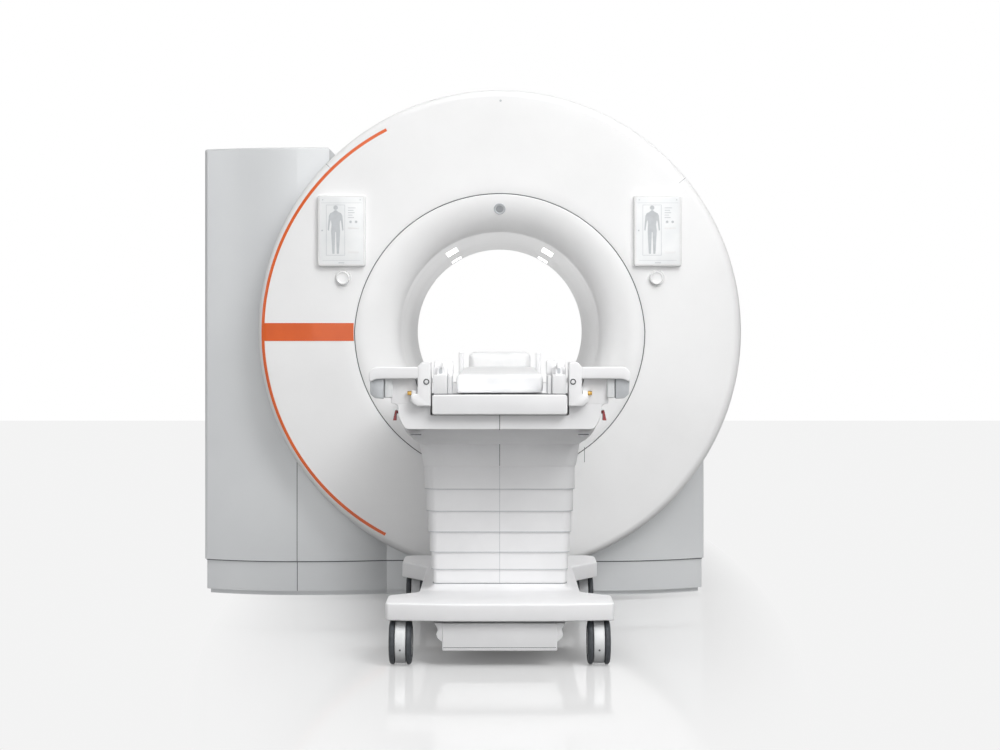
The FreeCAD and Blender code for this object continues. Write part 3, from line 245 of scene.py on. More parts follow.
def polar(radius, angle, y):
    """Points at a radius and angle about the bore's axis; angle 0 is +X, a quarter turn is up."""
    radius, angle, y = np.broadcast_arrays(radius, angle, y)
    return np.stack([radius * np.cos(angle), y, AXIS_Z + radius * np.sin(angle)], axis=-1)


def sector(inner, outer, start, stop, front, rear, steps=24):
    """A curved plate about the bore's axis, between two radii, two angles and two depths."""
    angle = np.radians(np.linspace(start, stop, steps + 1))[:, None]
    depth = np.array([front, rear])[None]
    return thick_sheet(polar(outer + angle * 0, angle, depth),
        polar(inner + angle * 0, angle, depth))


def face_drop(radius):
    """How far the front cover's surface falls back at a radius: nothing, then a quarter circle."""
    over = np.clip(radius - FLAT_RADIUS, 0, RIM_ROUNDING * 0.999)
    return RIM_ROUNDING - np.sqrt(RIM_ROUNDING**2 - over**2)


def on_face(x, z, proud=0.0008, sunk=0.001):
    """A thin plate that follows the front cover under a grid of X and Z."""
    y = FACE_Y + face_drop(np.hypot(x, z - AXIS_Z))
    return thick_sheet(np.stack([x, y - proud, z], -1), np.stack([x, y + sunk, z], -1))


def seam_at(angle, shrink=0.0):
    """The cover opening's radius by angle: a half circle below and one flatter arc above."""
    radius, top = SEAM_RADIUS - shrink, SEAM_TOP - shrink
    crown = (radius * radius + top * top) / (top * 2)
    centre = top - crown
    upper = centre * np.sin(angle) + np.sqrt(crown**2 - (centre * np.cos(angle)) ** 2)
    return np.where(np.sin(angle) < 0, radius, upper)


def add_piece(name, shape, finish, body, replaces=(), bevel=0.0, smooth=38):
    """Puts a shape into a mesh object, with its finish, its body and the nodes it stands for."""
    points, faces = shape
    mesh = bpy.data.meshes.new(name)
    mesh.from_pydata(points.tolist(), [], faces)
    work = bmesh.new()
    work.from_mesh(mesh)
    bmesh.ops.remove_doubles(work, verts=work.verts, dist=1e-6)
    bmesh.ops.dissolve_degenerate(work, edges=work.edges, dist=1e-7)
    bmesh.ops.recalc_face_normals(work, faces=work.faces)
    work.to_mesh(mesh)
    work.free()
    mesh.polygons.foreach_set("use_smooth", np.ones(len(mesh.polygons), bool))
    mesh.set_sharp_from_angle(angle=math.radians(smooth))
    piece = bpy.data.objects.new(name, mesh)
    bpy.context.scene.collection.objects.link(piece)
    mesh.materials.append(surface(finish))
    if bevel:
        rounding = piece.modifiers.new("edge_rounding", "BEVEL")
        rounding.width = bevel
        rounding.segments = 2
        rounding.limit_method = "ANGLE"
        rounding.angle_limit = math.radians(40)
        rounding.harden_normals = True
    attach(piece, body)
    if replaces:
        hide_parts(*replaces)
    return piece


def kept(piece, modifier):
    """Makes a modifier's result the piece's own mesh."""
    whole = piece.evaluated_get(bpy.context.evaluated_depsgraph_get())
    piece.data = bpy.data.meshes.new_from_object(whole)
    piece.modifiers.remove(modifier)
    if not piece.data.polygons:
        raise RuntimeError(piece.name + " lost its faces")


def open_up(piece, shape):
    """Cuts a closed shape out of a piece and keeps the result as its mesh."""
    mesh = bpy.data.meshes.new("opening")
    mesh.from_pydata(shape[0].tolist(), [], shape[1])
    cutter = bpy.data.objects.new("opening", mesh)
    bpy.context.scene.collection.objects.link(cutter)
    cut = piece.modifiers.new("opening", "BOOLEAN")
    cut.operation, cut.solver, cut.object = "DIFFERENCE", "EXACT", cutter
    kept(piece, cut)
    bpy.data.objects.remove(cutter)
    bpy.data.meshes.remove(mesh)


# ---------------------------------------------------------------- finishes
def add_node(tree, kind, settings=None, links=None):
    """Adds one shader node, sets its values and joins its inputs to other nodes' outputs."""
    made = tree.nodes.new(kind)
    for key, value in (settings or {}).items():
        if isinstance(key, str) and hasattr(made, key):
            setattr(made, key, value)
        else:
            made.inputs[key].default_value = value
    for key, source in (links or {}).items():
        tree.links.new(source, made.inputs[key])
    return made


def new_surface(name):
    """An empty material with its shader and output."""
    material = bpy.data.materials.new(name)
    material.use_nodes = True
    tree = material.node_tree
    tree.nodes.clear()
    shader = add_node(tree, "ShaderNodeBsdfPrincipled")
    add_node(tree, "ShaderNodeOutputMaterial", None, {"Surface": shader.outputs["BSDF"]})
    place = add_node(tree, "ShaderNodeTexCoord").outputs["Object"]
    return material, tree, shader, place


def mottled(tree, place, size, low, high, detail=3.0, stretch=None):
    """A soft noise with patches of one size in metres, spread between two linear colours."""
    vector = place
    if stretch:
        vector = add_node(tree, "ShaderNodeMapping", {"Scale": stretch},
            {"Vector": place}).outputs["Vector"]
    noise = add_node(tree, "ShaderNodeTexNoise", {"Scale": 1 / size, "Detail": detail},
        {"Vector": vector})
    ramp = add_node(tree, "ShaderNodeValToRGB", None, {"Fac": noise.outputs["Fac"]})
    ramp.color_ramp.elements[0].position, ramp.color_ramp.elements[1].position = 0.3, 0.7
    ramp.color_ramp.elements[0].color, ramp.color_ramp.elements[1].color = low, high
    return noise, ramp


def varied_finish(name, colour, shade, size, roughness, spread, grain, height, **settings):
    """A coloured surface with slow colour change, uneven gloss and a fine raised grain.

    colour and shade are its two hex tones; size and grain are in metres; height is the grain's
    depth in metres; spread is how far the roughness wanders.
    """
    material, tree, shader, place = new_surface(name)
    noise, tone = mottled(tree, place, size, linear(shade), linear(colour))
    tree.links.new(tone.outputs["Color"], shader.inputs["Base Color"])
    gloss = add_node(tree, "ShaderNodeMapRange", {"To Min": roughness - spread,
        "To Max": roughness + spread}, {"Value": noise.outputs["Fac"]})
    tree.links.new(gloss.outputs["Result"], shader.inputs["Roughness"])
    fine = add_node(tree, "ShaderNodeTexNoise", {"Scale": 1 / grain, "Detail": 2.0},
        {"Vector": place})
    bump = add_node(tree, "ShaderNodeBump", {"Strength": 0.6, "Distance": height},
        {"Height": fine.outputs["Fac"]})
    tree.links.new(bump.outputs["Normal"], shader.inputs["Normal"])
    for socket, value in settings.items():
        shader.inputs[socket.replace("_", " ")].default_value = value
    return material


def satin_lacquer(name):
    """Sprayed satin lacquer on glass-fibre covers: even, softly glossy, a faint orange peel."""
    return varied_finish(name, colours().cover, "#F1F1F1", 0.35, 0.34, 0.04, 0.004, 0.00012,
        Coat_Weight=0.25, Coat_Roughness=0.18)


def metallic_lacquer(name):
    """Silver metallic lacquer: flakes, drawn 2 mm wide so that they show, under a clear coat."""
    return varied_finish(name, colours().silver, "#DCDEE0", 0.5, 0.4, 0.04, 0.002, 0.00006,
        Metallic=0.25, Coat_Weight=0.2, Coat_Roughness=0.2)


def moulded_abs(name):
    """Injection-moulded ABS: matt, a shallow spark-eroded grain about 1 mm across."""
    return varied_finish(name, colours().table, "#F0F0F1", 0.18, 0.46, 0.05, 0.0014, 0.0001,
        Coat_Weight=0.06, Coat_Roughness=0.3)


def moulded_grey(name):
    """Glass-filled nylon of the caster bodies: light grey, duller than the covers."""
    return varied_finish(name, "#EDEEEF", "#E2E4E5", 0.03, 0.5, 0.06, 0.0012, 0.0001)


def tyre_rubber(name):
    """Soft grey polyurethane tread: dull, slightly dusty in patches 15 mm wide."""
    return varied_finish(name, "#4E5257", "#3B3E42", 0.015, 0.62, 0.1, 0.0012, 0.0002)


def seal_rubber_and_gap_shade(name):
    """Extruded rubber seal in the joints, and painted shade in the gaps between covers: dark, dull.
    """
    return varied_finish(name, "#5C5F62", "#4A4D50", 0.02, 0.65, 0.06, 0.001, 0.0001)


def lacquered_film(name):
    """Orange vinyl film rolled flat on the cover: saturated, even, a light gloss."""
    return varied_finish(name, colours().accent, "#DC5B16", 0.12, 0.32, 0.03, 0.003, 0.00004,
        Coat_Weight=0.3)


def glossy_abs(name):
    """Polished ABS bezel of the panels: white, clear reflections."""
    return varied_finish(name, "#F6F6F6", "#EFEFEF", 0.08, 0.22, 0.03, 0.003, 0.00004,
        Coat_Weight=0.4)


def red_abs(name):
    """Glossy red ABS of the release levers."""
    return varied_finish(name, "#A3161C", "#8C1217", 0.01, 0.3, 0.04, 0.001, 0.00005,
        Coat_Weight=0.3)


def powder_coat(name):
    """Dark grey powder coat on welded steel: pebbled every 2 mm, half matt."""
    return varied_finish(name, "#7C7F82", "#6A6D70", 0.12, 0.5, 0.06, 0.002, 0.0003)


def cast_epoxy(name):
    """Cast glass-fibre epoxy of the coils: amber, cloudy over 60 mm, semi-gloss."""
    return varied_finish(name, "#C9B98B", "#A8955F", 0.06, 0.4, 0.08, 0.003, 0.0002)


def upholstery_vinyl(name):
    """Pale calendered vinyl on foam: pebble grain 1.6 mm across, soft sheen on its crests."""
    material, tree, shader, place = new_surface(name)
    noise, tone = mottled(tree, place, 0.09, linear("#E9EAEB"), linear("#F2F2F2"))
    tree.links.new(tone.outputs["Color"], shader.inputs["Base Color"])
    pebble = add_node(tree, "ShaderNodeTexVoronoi", {"feature": "SMOOTH_F1", "Scale": 1 / 0.0016,
        "Smoothness": 0.6}, {"Vector": place})
    bump = add_node(tree, "ShaderNodeBump", {"Strength": 0.5, "Distance": 0.0003},
        {"Height": pebble.outputs["Distance"]})
    gloss = add_node(tree, "ShaderNodeMapRange", {"To Min": 0.36, "To Max": 0.52},
        {"Value": noise.outputs["Fac"]})
    tree.links.new(gloss.outputs["Result"], shader.inputs["Roughness"])
    tree.links.new(bump.outputs["Normal"], shader.inputs["Normal"])
    shader.inputs["Sheen Weight"].default_value = 0.1
    return material


def drawn_metal(name, colour, shade, roughness, stretch):
    """A bare metal with fine drawn lines: a noise stretched along one axis moves its gloss."""
    material, tree, shader, place = new_surface(name)
    noise, tone = mottled(tree, place, 0.004, linear(shade), linear(colour), 4.0, stretch)
    tree.links.new(tone.outputs["Color"], shader.inputs["Base Color"])
    gloss = add_node(tree, "ShaderNodeMapRange", {"To Min": roughness - 0.08,
        "To Max": roughness + 0.08}, {"Value": noise.outputs["Fac"]})
    bump = add_node(tree, "ShaderNodeBump", {"Strength": 0.3, "Distance": 0.0001},
        {"Height": noise.outputs["Fac"]})
    tree.links.new(gloss.outputs["Result"], shader.inputs["Roughness"])
    tree.links.new(bump.outputs["Normal"], shader.inputs["Normal"])
    shader.inputs["Metallic"].default_value = 1.0
    return material


def brushed_steel(name):
    """Brushed stainless steel of the vessels: lines along the bore."""
    return drawn_metal(name, "#C9CBCD", "#A9ACAE", 0.34, (1, 0.03, 1))


def anodised_aluminium(name):
    """Clear anodised aluminium extrusions: fine upright die lines, dull silver."""
    return drawn_metal(name, "#D2D4D6", "#BABDC0", 0.4, (1, 1, 0.03))


def wound_copper(name):
    """Windings of copper wire: rings 4 mm apart round the bore."""
    return drawn_metal(name, "#C98A5B", "#9A5F38", 0.38, (0.05, 1, 0.05))


def turned_brass(name):
    """Turned brass connectors: fine rings from the tool."""
    return drawn_metal(name, "#D8B36A", "#B58A3C", 0.28, (0.2, 1, 0.2))


def coated_lens(name):
    """Coated lens of the patient camera: mid-grey glass, sharp reflections."""
    return varied_finish(name, "#A4A7AA", "#94979A", 0.02, 0.12, 0.02, 0.004, 0.00002,
        Coat_Weight=0.8)


def display_glass(name):
    """Cover glass over a white lit display: smooth, faintly glowing."""
    return varied_finish(name, "#F3F4F4", "#ECEEEF", 0.08, 0.16, 0.02, 0.006, 0.00001,
        Coat_Weight=0.5, Emission_Color=linear("#F4F6F7"), Emission_Strength=0.06)


def printed_grey_and_painted_shade(name):
    """Pale grey symbols of the display, also painted shade under the column covers' edges and on the
    push handles' outer ends: flat ink-like tone, slightly uneven.
    """
    return varied_finish(name, "#CBCED1", "#C2C5C8", 0.02, 0.35, 0.04, 0.001, 0.00002)


def lit_diffuser(name):
    """Opal acrylic window with lamps behind it: even white light."""
    return varied_finish(name, "#FFFFFF", "#FAFAFA", 0.05, 0.4, 0.04, 0.002, 0.00003,
        Emission_Color=linear("#FFFFFF"), Emission_Strength=3.0)


FINISHES = {"cover_white": satin_lacquer, "silver_paint": metallic_lacquer,
    "table_white": moulded_abs, "fender_grey": moulded_grey, "tyre_grey": tyre_rubber,
    "joint_shadow": seal_rubber_and_gap_shade, "accent_orange": lacquered_film, "panel_plastic": glossy_abs,
    "lever_red": red_abs, "frame_paint": powder_coat, "coil_epoxy": cast_epoxy,
    "mattress_vinyl": upholstery_vinyl, "vessel_steel": brushed_steel,
    "lift_aluminium": anodised_aluminium, "coil_copper": wound_copper,
    "connector_brass": turned_brass, "lens_glass": coated_lens, "screen_glass": display_glass,
    "symbol_grey": printed_grey_and_painted_shade, "light_window": lit_diffuser}
MADE = {}


def surface(slot):
    """The material of a slot, made once."""
    if slot not in MADE:
        MADE[slot] = FINISHES[slot](FINISHES[slot].__name__)
    return MADE[slot]


def colours():
    return bpy.context.scene.scanner_colours


def magnet():
    return bpy.context.scene.scanner_magnet


def table():
    return bpy.context.scene.scanner_table


# ---------------------------------------------------------------- values a user would change
class ScannerColours(bpy.types.PropertyGroup):
    cover: bpy.props.StringProperty(name="Cover white", description="Tone of the lacquered covers",
        default="#F7F7F7")
    silver: bpy.props.StringProperty(name="Service silver",
        description="Tone of the metallic covers", default="#E4E6E7")
    table: bpy.props.StringProperty(name="Table white", description="Tone of the table's mouldings",
        default="#F7F7F8")
    accent: bpy.props.StringProperty(name="Accent", description="Tone of the stripe and band",
        default="#E8641B")


class ScannerMagnet(bpy.types.PropertyGroup):
    stripe_width: bpy.props.FloatProperty(name="Stripe width",
        description="Width of the curved stripe", default=0.012, unit="LENGTH")
    band_height: bpy.props.FloatProperty(name="Band height", description="Height of the level band",
        default=0.071, unit="LENGTH")
    light_width: bpy.props.FloatProperty(name="Light width", description="Width of a bore light",
        default=0.05, unit="LENGTH")
    around: bpy.props.IntProperty(name="Steps around", description="Points round each large cover",
        default=288, min=48)


class ScannerTable(bpy.types.PropertyGroup):
    pad_crown: bpy.props.FloatProperty(name="Pad crown",
        description="Rise of the mattress's middle", default=0.006, unit="LENGTH")
    cover_gap: bpy.props.FloatProperty(name="Cover step",
        description="Step from one column cover to the next", default=0.0058, unit="LENGTH")
    wheel_radius: bpy.props.FloatProperty(name="Wheel radius",
        description="Radius of the caster tyres", default=0.072, unit="LENGTH")


# ---------------------------------------------------------------- the magnet's covers
def cover_shell(face, inward):
    """The round cover as one closed skin: seam edge, flat face, rounded rim, and back inside."""
    angle = np.linspace(0, math.tau, magnet().around, endpoint=False)
    seam = seam_at(angle)
    circle = np.ones_like(angle)
    rows = []

    def ring(radius, depth):
        rows.append(polar(radius, angle, face + depth * inward))

    ring(seam, COVER_WALL)
    ring(seam, 0.002)
    ring(seam + 0.0006, 0.0006)
    ring(seam + 0.002, 0.0)
    for share in np.linspace(0, 1, 9)[1:]:
        ring((seam + 0.002) * (1 - share) + FLAT_RADIUS * share, 0.0)
    for turn in np.linspace(0, math.pi / 2, 11)[1:]:
        ring(circle * (FLAT_RADIUS + RIM_ROUNDING * math.sin(turn)),
            RIM_ROUNDING * (1 - math.cos(turn)))
    ring(circle * DISC_RADIUS, RIM_DEPTH - 0.001)
    ring(circle * (DISC_RADIUS - 0.001), RIM_DEPTH)
    ring(circle * (DISC_RADIUS - COVER_WALL), RIM_DEPTH)
    inner_round = RIM_ROUNDING - COVER_WALL
    for turn in np.linspace(math.pi / 2, 0, 7):
        ring(circle * (FLAT_RADIUS + inner_round * math.sin(turn)),
            RIM_ROUNDING - inner_round * math.cos(turn))
    return loft(rows, closed=True)


def funnel_shell(face, inward, depth):
    """The trumpet as one closed skin: flange edge, quarter circle to the bore, and back outside."""
    angle = np.linspace(0, math.tau, magnet().around, endpoint=False)
    edge = seam_at(angle, 0.003)
    circle = np.ones_like(angle)
    mouth = BORE_RADIUS + FUNNEL_CURVE
    lip = mouth - 0.004
    rows = []

    def ring(radius, level):
        rows.append(polar(radius, angle, face + level * inward))

    ring(edge, COVER_WALL)
    ring(edge, 0.002)
    ring(edge - 0.0006, 0.0006)
    ring(edge - 0.002, 0.0)
    for turn in np.linspace(0, math.pi / 2, 19):
        reach = mouth - FUNNEL_CURVE * math.sin(turn)
        radius = np.minimum(circle * reach, edge - 0.0025 - (mouth - reach) * 0.02)
        ring(radius if turn else np.minimum(circle * lip, edge - 0.0025),
            FUNNEL_CURVE * (1 - math.cos(turn)))
    ring(circle * BORE_RADIUS, depth - 0.001)
    ring(circle * (BORE_RADIUS + 0.001), depth)
    ring(circle * (BORE_RADIUS + COVER_WALL), depth)
    outer = FUNNEL_CURVE - COVER_WALL
    for turn in np.linspace(math.pi / 2, 0, 13):
        radius = np.minimum(circle * (mouth - outer * math.sin(turn)), edge - 0.003)
        ring(radius, FUNNEL_CURVE - outer * math.cos(turn))
    return loft(rows, closed=True)


def gap_shade_ring(face, inward):
    """A dark strip behind the gap between cover and funnel, painted shade seen through the gap: the
    seam curve widened both ways.
    """
    angle = np.linspace(0, math.tau, magnet().around, endpoint=False)
    seam = seam_at(angle, 0.0015)
    rows = [polar(seam + reach, angle, face + depth * inward) for reach,
        depth in ((-0.0013, 0.0012), (0.0013, 0.0012), (0.0013, 0.0058), (-0.0013, 0.0058))]
    return loft(rows, closed=True)


class SCANNER_OT_round_covers(bpy.types.Operator):
    """Builds the two round covers, their funnels and the painted shade in the gap between them"""

    bl_idname = "scanner.round_covers"
    bl_label = "Round covers"

    def execute(self, context):
        for end, face, inward, throat in (("front", FACE_Y, 1, THROAT_FRONT),
                ("rear", REAR_Y, -1, THROAT_REAR)):
            add_piece(end + "_cover_skin", cover_shell(face, inward), "cover_white", "magnet",
                (end + "_cover",))
            add_piece(end + "_funnel_skin", funnel_shell(face, inward, abs(throat - face)),
                "cover_white", "magnet", (end + "_funnel",))
            # the dark strip behind the gap stands for the shade inside it
            add_piece(end + "_opening_gap_shade", gap_shade_ring(face, inward), "joint_shadow", "magnet")
        return {"FINISHED"}


class SCANNER_OT_shrouds(bpy.types.Operator):
    """Builds the curved panels between the round covers"""

    bl_idname = "scanner.shrouds"
    bl_label = "Shroud panels"

    def execute(self, context):
        outer = DISC_RADIUS - COVER_WALL - 0.0003
        front, rear = FACE_Y + RIM_DEPTH - 0.02, REAR_Y - RIM_DEPTH + 0.02
        for node, start, stop in (("shroud_top", 40.25, 136), ("shroud_right", -34, 40)):
            shape = sector(outer - 0.005, outer, start, stop, front, rear, 96)
            add_piece(node + "_skin", shape, "cover_white", "magnet", (node,), bevel=0.0012)
        return {"FINISHED"}


def bowed(start, stop, radius, steps=28):
    """Points of the arc of one radius from start to stop that bulges towards the front."""
    start, stop = np.array(start, float), np.array(stop, float)
    chord = stop - start
    half = np.linalg.norm(chord) / 2
    across = np.array([-chord[1], chord[0]]) / (half * 2)
    centre = (start + stop) / 2 + across * math.sqrt(radius**2 - half**2)
    angles = [math.atan2(*(point - centre)[::-1]) for point in (start, stop)]
    a = np.linspace(*angles, steps)
    return centre + radius * np.stack([np.cos(a), np.sin(a)], -1)


def column_front(depth):
    """The tall column and left base cover in plan, moved inwards by a depth."""
    outer = bowed((-1.207 + depth, -0.691 + depth), (-0.82, -0.774 + depth), 0.944)
    inner = bowed((-0.82, -0.774 + depth), (-0.46, -0.731 + depth), 1.528)
    return np.concatenate([outer, inner[1:], [(-0.312, -0.731 + depth)]])


def right_front(depth):
    """The right base cover in plan, moved inwards by a depth."""
    arc = bowed((0.4, -0.766 + depth), (0.84 - depth, -0.65 + depth), 0.91)
    return np.concatenate([[(0.312, -0.766 + depth)], arc])


class SCANNER_OT_skirt_seams(bpy.types.Operator):
    """Builds dark strips of painted shade in the gaps of the silver covers: over the plinths and
    beside the tall column
    """

    bl_idname = "scanner.skirt_seams"
    bl_label = "Skirt seams"

    def execute(self, context):
        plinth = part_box("left_plinth")[1].z - 0.024
        # dark strips inside the gaps are painted shade: they stand for the shade in the gaps
        strips = []
        for plan in (column_front, right_front):
            sheets = [[placed(plan(depth), level, "z") for level in (plinth - 0.0003,
                plinth + 0.0042)] for depth in (0.0068, 0.0086)]
            strips.append(thick_sheet(*sheets))
        strips.append(block((-0.8214, -0.7743, plinth + 0.004), (-0.8186, -0.77, 0.69), 0.0002))
        strips.append(block((-0.8214, -0.7663, 0.019), (-0.8186, -0.762, plinth), 0.0002))
        add_piece("skirt_gap_shade_lines", merged(*strips), "joint_shadow", "magnet")
        return {"FINISHED"}


class SCANNER_OT_bore(bpy.types.Operator):
    """Builds the bore's lining and its four lights"""

    bl_idname = "scanner.bore"
    bl_label = "Bore"

    def execute(self, context):
        first_joint, second_joint, groove, deep = -0.557, 0.146, 0.0016, 0.0022
        profile = [(BORE_RADIUS + 0.0087, THROAT_FRONT), (BORE_RADIUS, THROAT_FRONT)]
        for joint in (first_joint, second_joint):
            profile += [(BORE_RADIUS, joint - groove), (BORE_RADIUS + deep, joint - groove / 2),
                (BORE_RADIUS + deep, joint + groove / 2), (BORE_RADIUS, joint + groove)]
        profile += [(BORE_RADIUS, THROAT_REAR), (BORE_RADIUS + 0.0087, THROAT_REAR)]
        angle = np.linspace(0, math.tau, magnet().around, endpoint=False)
        rows = [polar(radius + angle * 0, angle, y) for radius, y in profile]
        add_piece("bore_lining", loft(rows, closed=True), "cover_white", "magnet", ("bore_liner",))
        half = math.degrees(magnet().light_width / 2 / BORE_RADIUS)
        lights, frames = [], []
        for front, rear in ((-0.455, -0.105), (0.475, 0.635)):
            for turn in (90 - 31, 90 + 31):
                lights.append(sector(BORE_RADIUS - 0.0022, BORE_RADIUS + 0.0004, turn - half,
                    turn + half, front, rear, 12))
                frames.append(sector(BORE_RADIUS - 0.0012, BORE_RADIUS + 0.0005, turn - half * 1.12,
                    turn + half * 1.12, front - 0.004, rear + 0.004, 12))
        add_piece("bore_lights", merged(*lights), "light_window", "magnet", bevel=0.0005)
        add_piece("bore_light_frames", merged(*frames), "cover_white", "magnet", bevel=0.0004)
        return {"FINISHED"}


class SCANNER_OT_accents(bpy.types.Operator):
    """Builds the orange stripe and band and the fine lines on the front cover"""

    bl_idname = "scanner.accents"
    bl_label = "Stripe and band"

    def execute(self, context):
        centre_x, centre_z, radius = -0.0361, AXIS_Z - 0.0032, 0.9028
        half = magnet().stripe_width / 2
        angle = np.radians(np.linspace(117.2, 242.5, 181))[:, None]
        reach = radius + np.linspace(-half, half, 5)[None]
        stripe = on_face(centre_x + reach * np.cos(angle), centre_z + reach * np.sin(angle))
        height = np.linspace(-0.5, 0.5, 9)[:, None] * magnet().band_height + AXIS_Z - 0.002
        left = centre_x - np.sqrt((radius + half * 0.3) ** 2 - (height - centre_z) ** 2)
        right = -np.sqrt((SEAM_RADIUS + 0.0022) ** 2 - (height - AXIS_Z) ** 2)
        share = np.linspace(0, 1, 41)[None]
        x = left * (1 - share) + right * share
        band = on_face(x, height + x * 0, 0.001)
        add_piece("orange_stripe", stripe, "accent_orange", "magnet")
        add_piece("orange_band", band, "accent_orange", "magnet")
        lines = []
        for turn in (136.0, 39.6):
            across = np.radians(turn + np.linspace(-0.035, 0.035, 2))[:, None]
            along = np.linspace(FLAT_RADIUS - 0.004, DISC_RADIUS - 0.0012, 12)[None]
            x, z = along * np.cos(across), AXIS_Z + along * np.sin(across)
            lines.append(on_face(x, z, 0.0004))
            start, stop = turn - 0.035, turn + 0.035
            lines.append(sector(DISC_RADIUS - 0.001, DISC_RADIUS + 0.0004, start, stop,
                FACE_Y + RIM_ROUNDING * 0.7, FACE_Y + RIM_DEPTH, 2))
        slot_x, slot_z = np.meshgrid([0.3353, 0.3371], [0.552, 0.612])
        lines.append(on_face(slot_x, slot_z, 0.0004))
        add_piece("cover_joint_lines", merged(*lines), "joint_shadow", "magnet")
        dot = [(0, 0.0004), (0.0042, 0.0004), (0.0046, 0), (0.0046, -0.001), (0, -0.001)]
        add_piece("cover_top_plug", turned(dot, (0.0036, FACE_Y, AXIS_Z + 0.915), steps=20),
            "symbol_grey", "magnet")
        return {"FINISHED"}


# ---------------------------------------------------------------- the control panels
def human_figure(x, y, z):
    """A plain standing figure as thin plates: a head disc and one symmetric body outline."""
    half = [(0.0035, 0.078), (0.01, 0.0715), (0.0215, 0.066), (0.0265, 0.056), (0.029, 0.03),
        (0.031, 0.000), (0.0265, -0.004), (0.0225, 0.026), (0.019, 0.044), (0.016, 0.022),
        (0.018, -0.004), (0.0155, -0.05), (0.013, -0.094), (0.0045, -0.094), (0.003, -0.05),
        (0.0012, -0.008)]
    corners = [(a, b, 0.0012) for a, b in half] + [(-a, b, 0.0012) for a, b in reversed(half)]
    outline = rounded_outline(corners, 3)[::-1] + np.array([x, z])
    body = slab(outline, [(0, y), (0, y - 0.0004)], "y")
    head = turned([(0, 0.0004), (0.0088, 0.0004), (0.0088, 0), (0, 0)], (x, y, z + 0.088), steps=24)
    return merged(body, head)


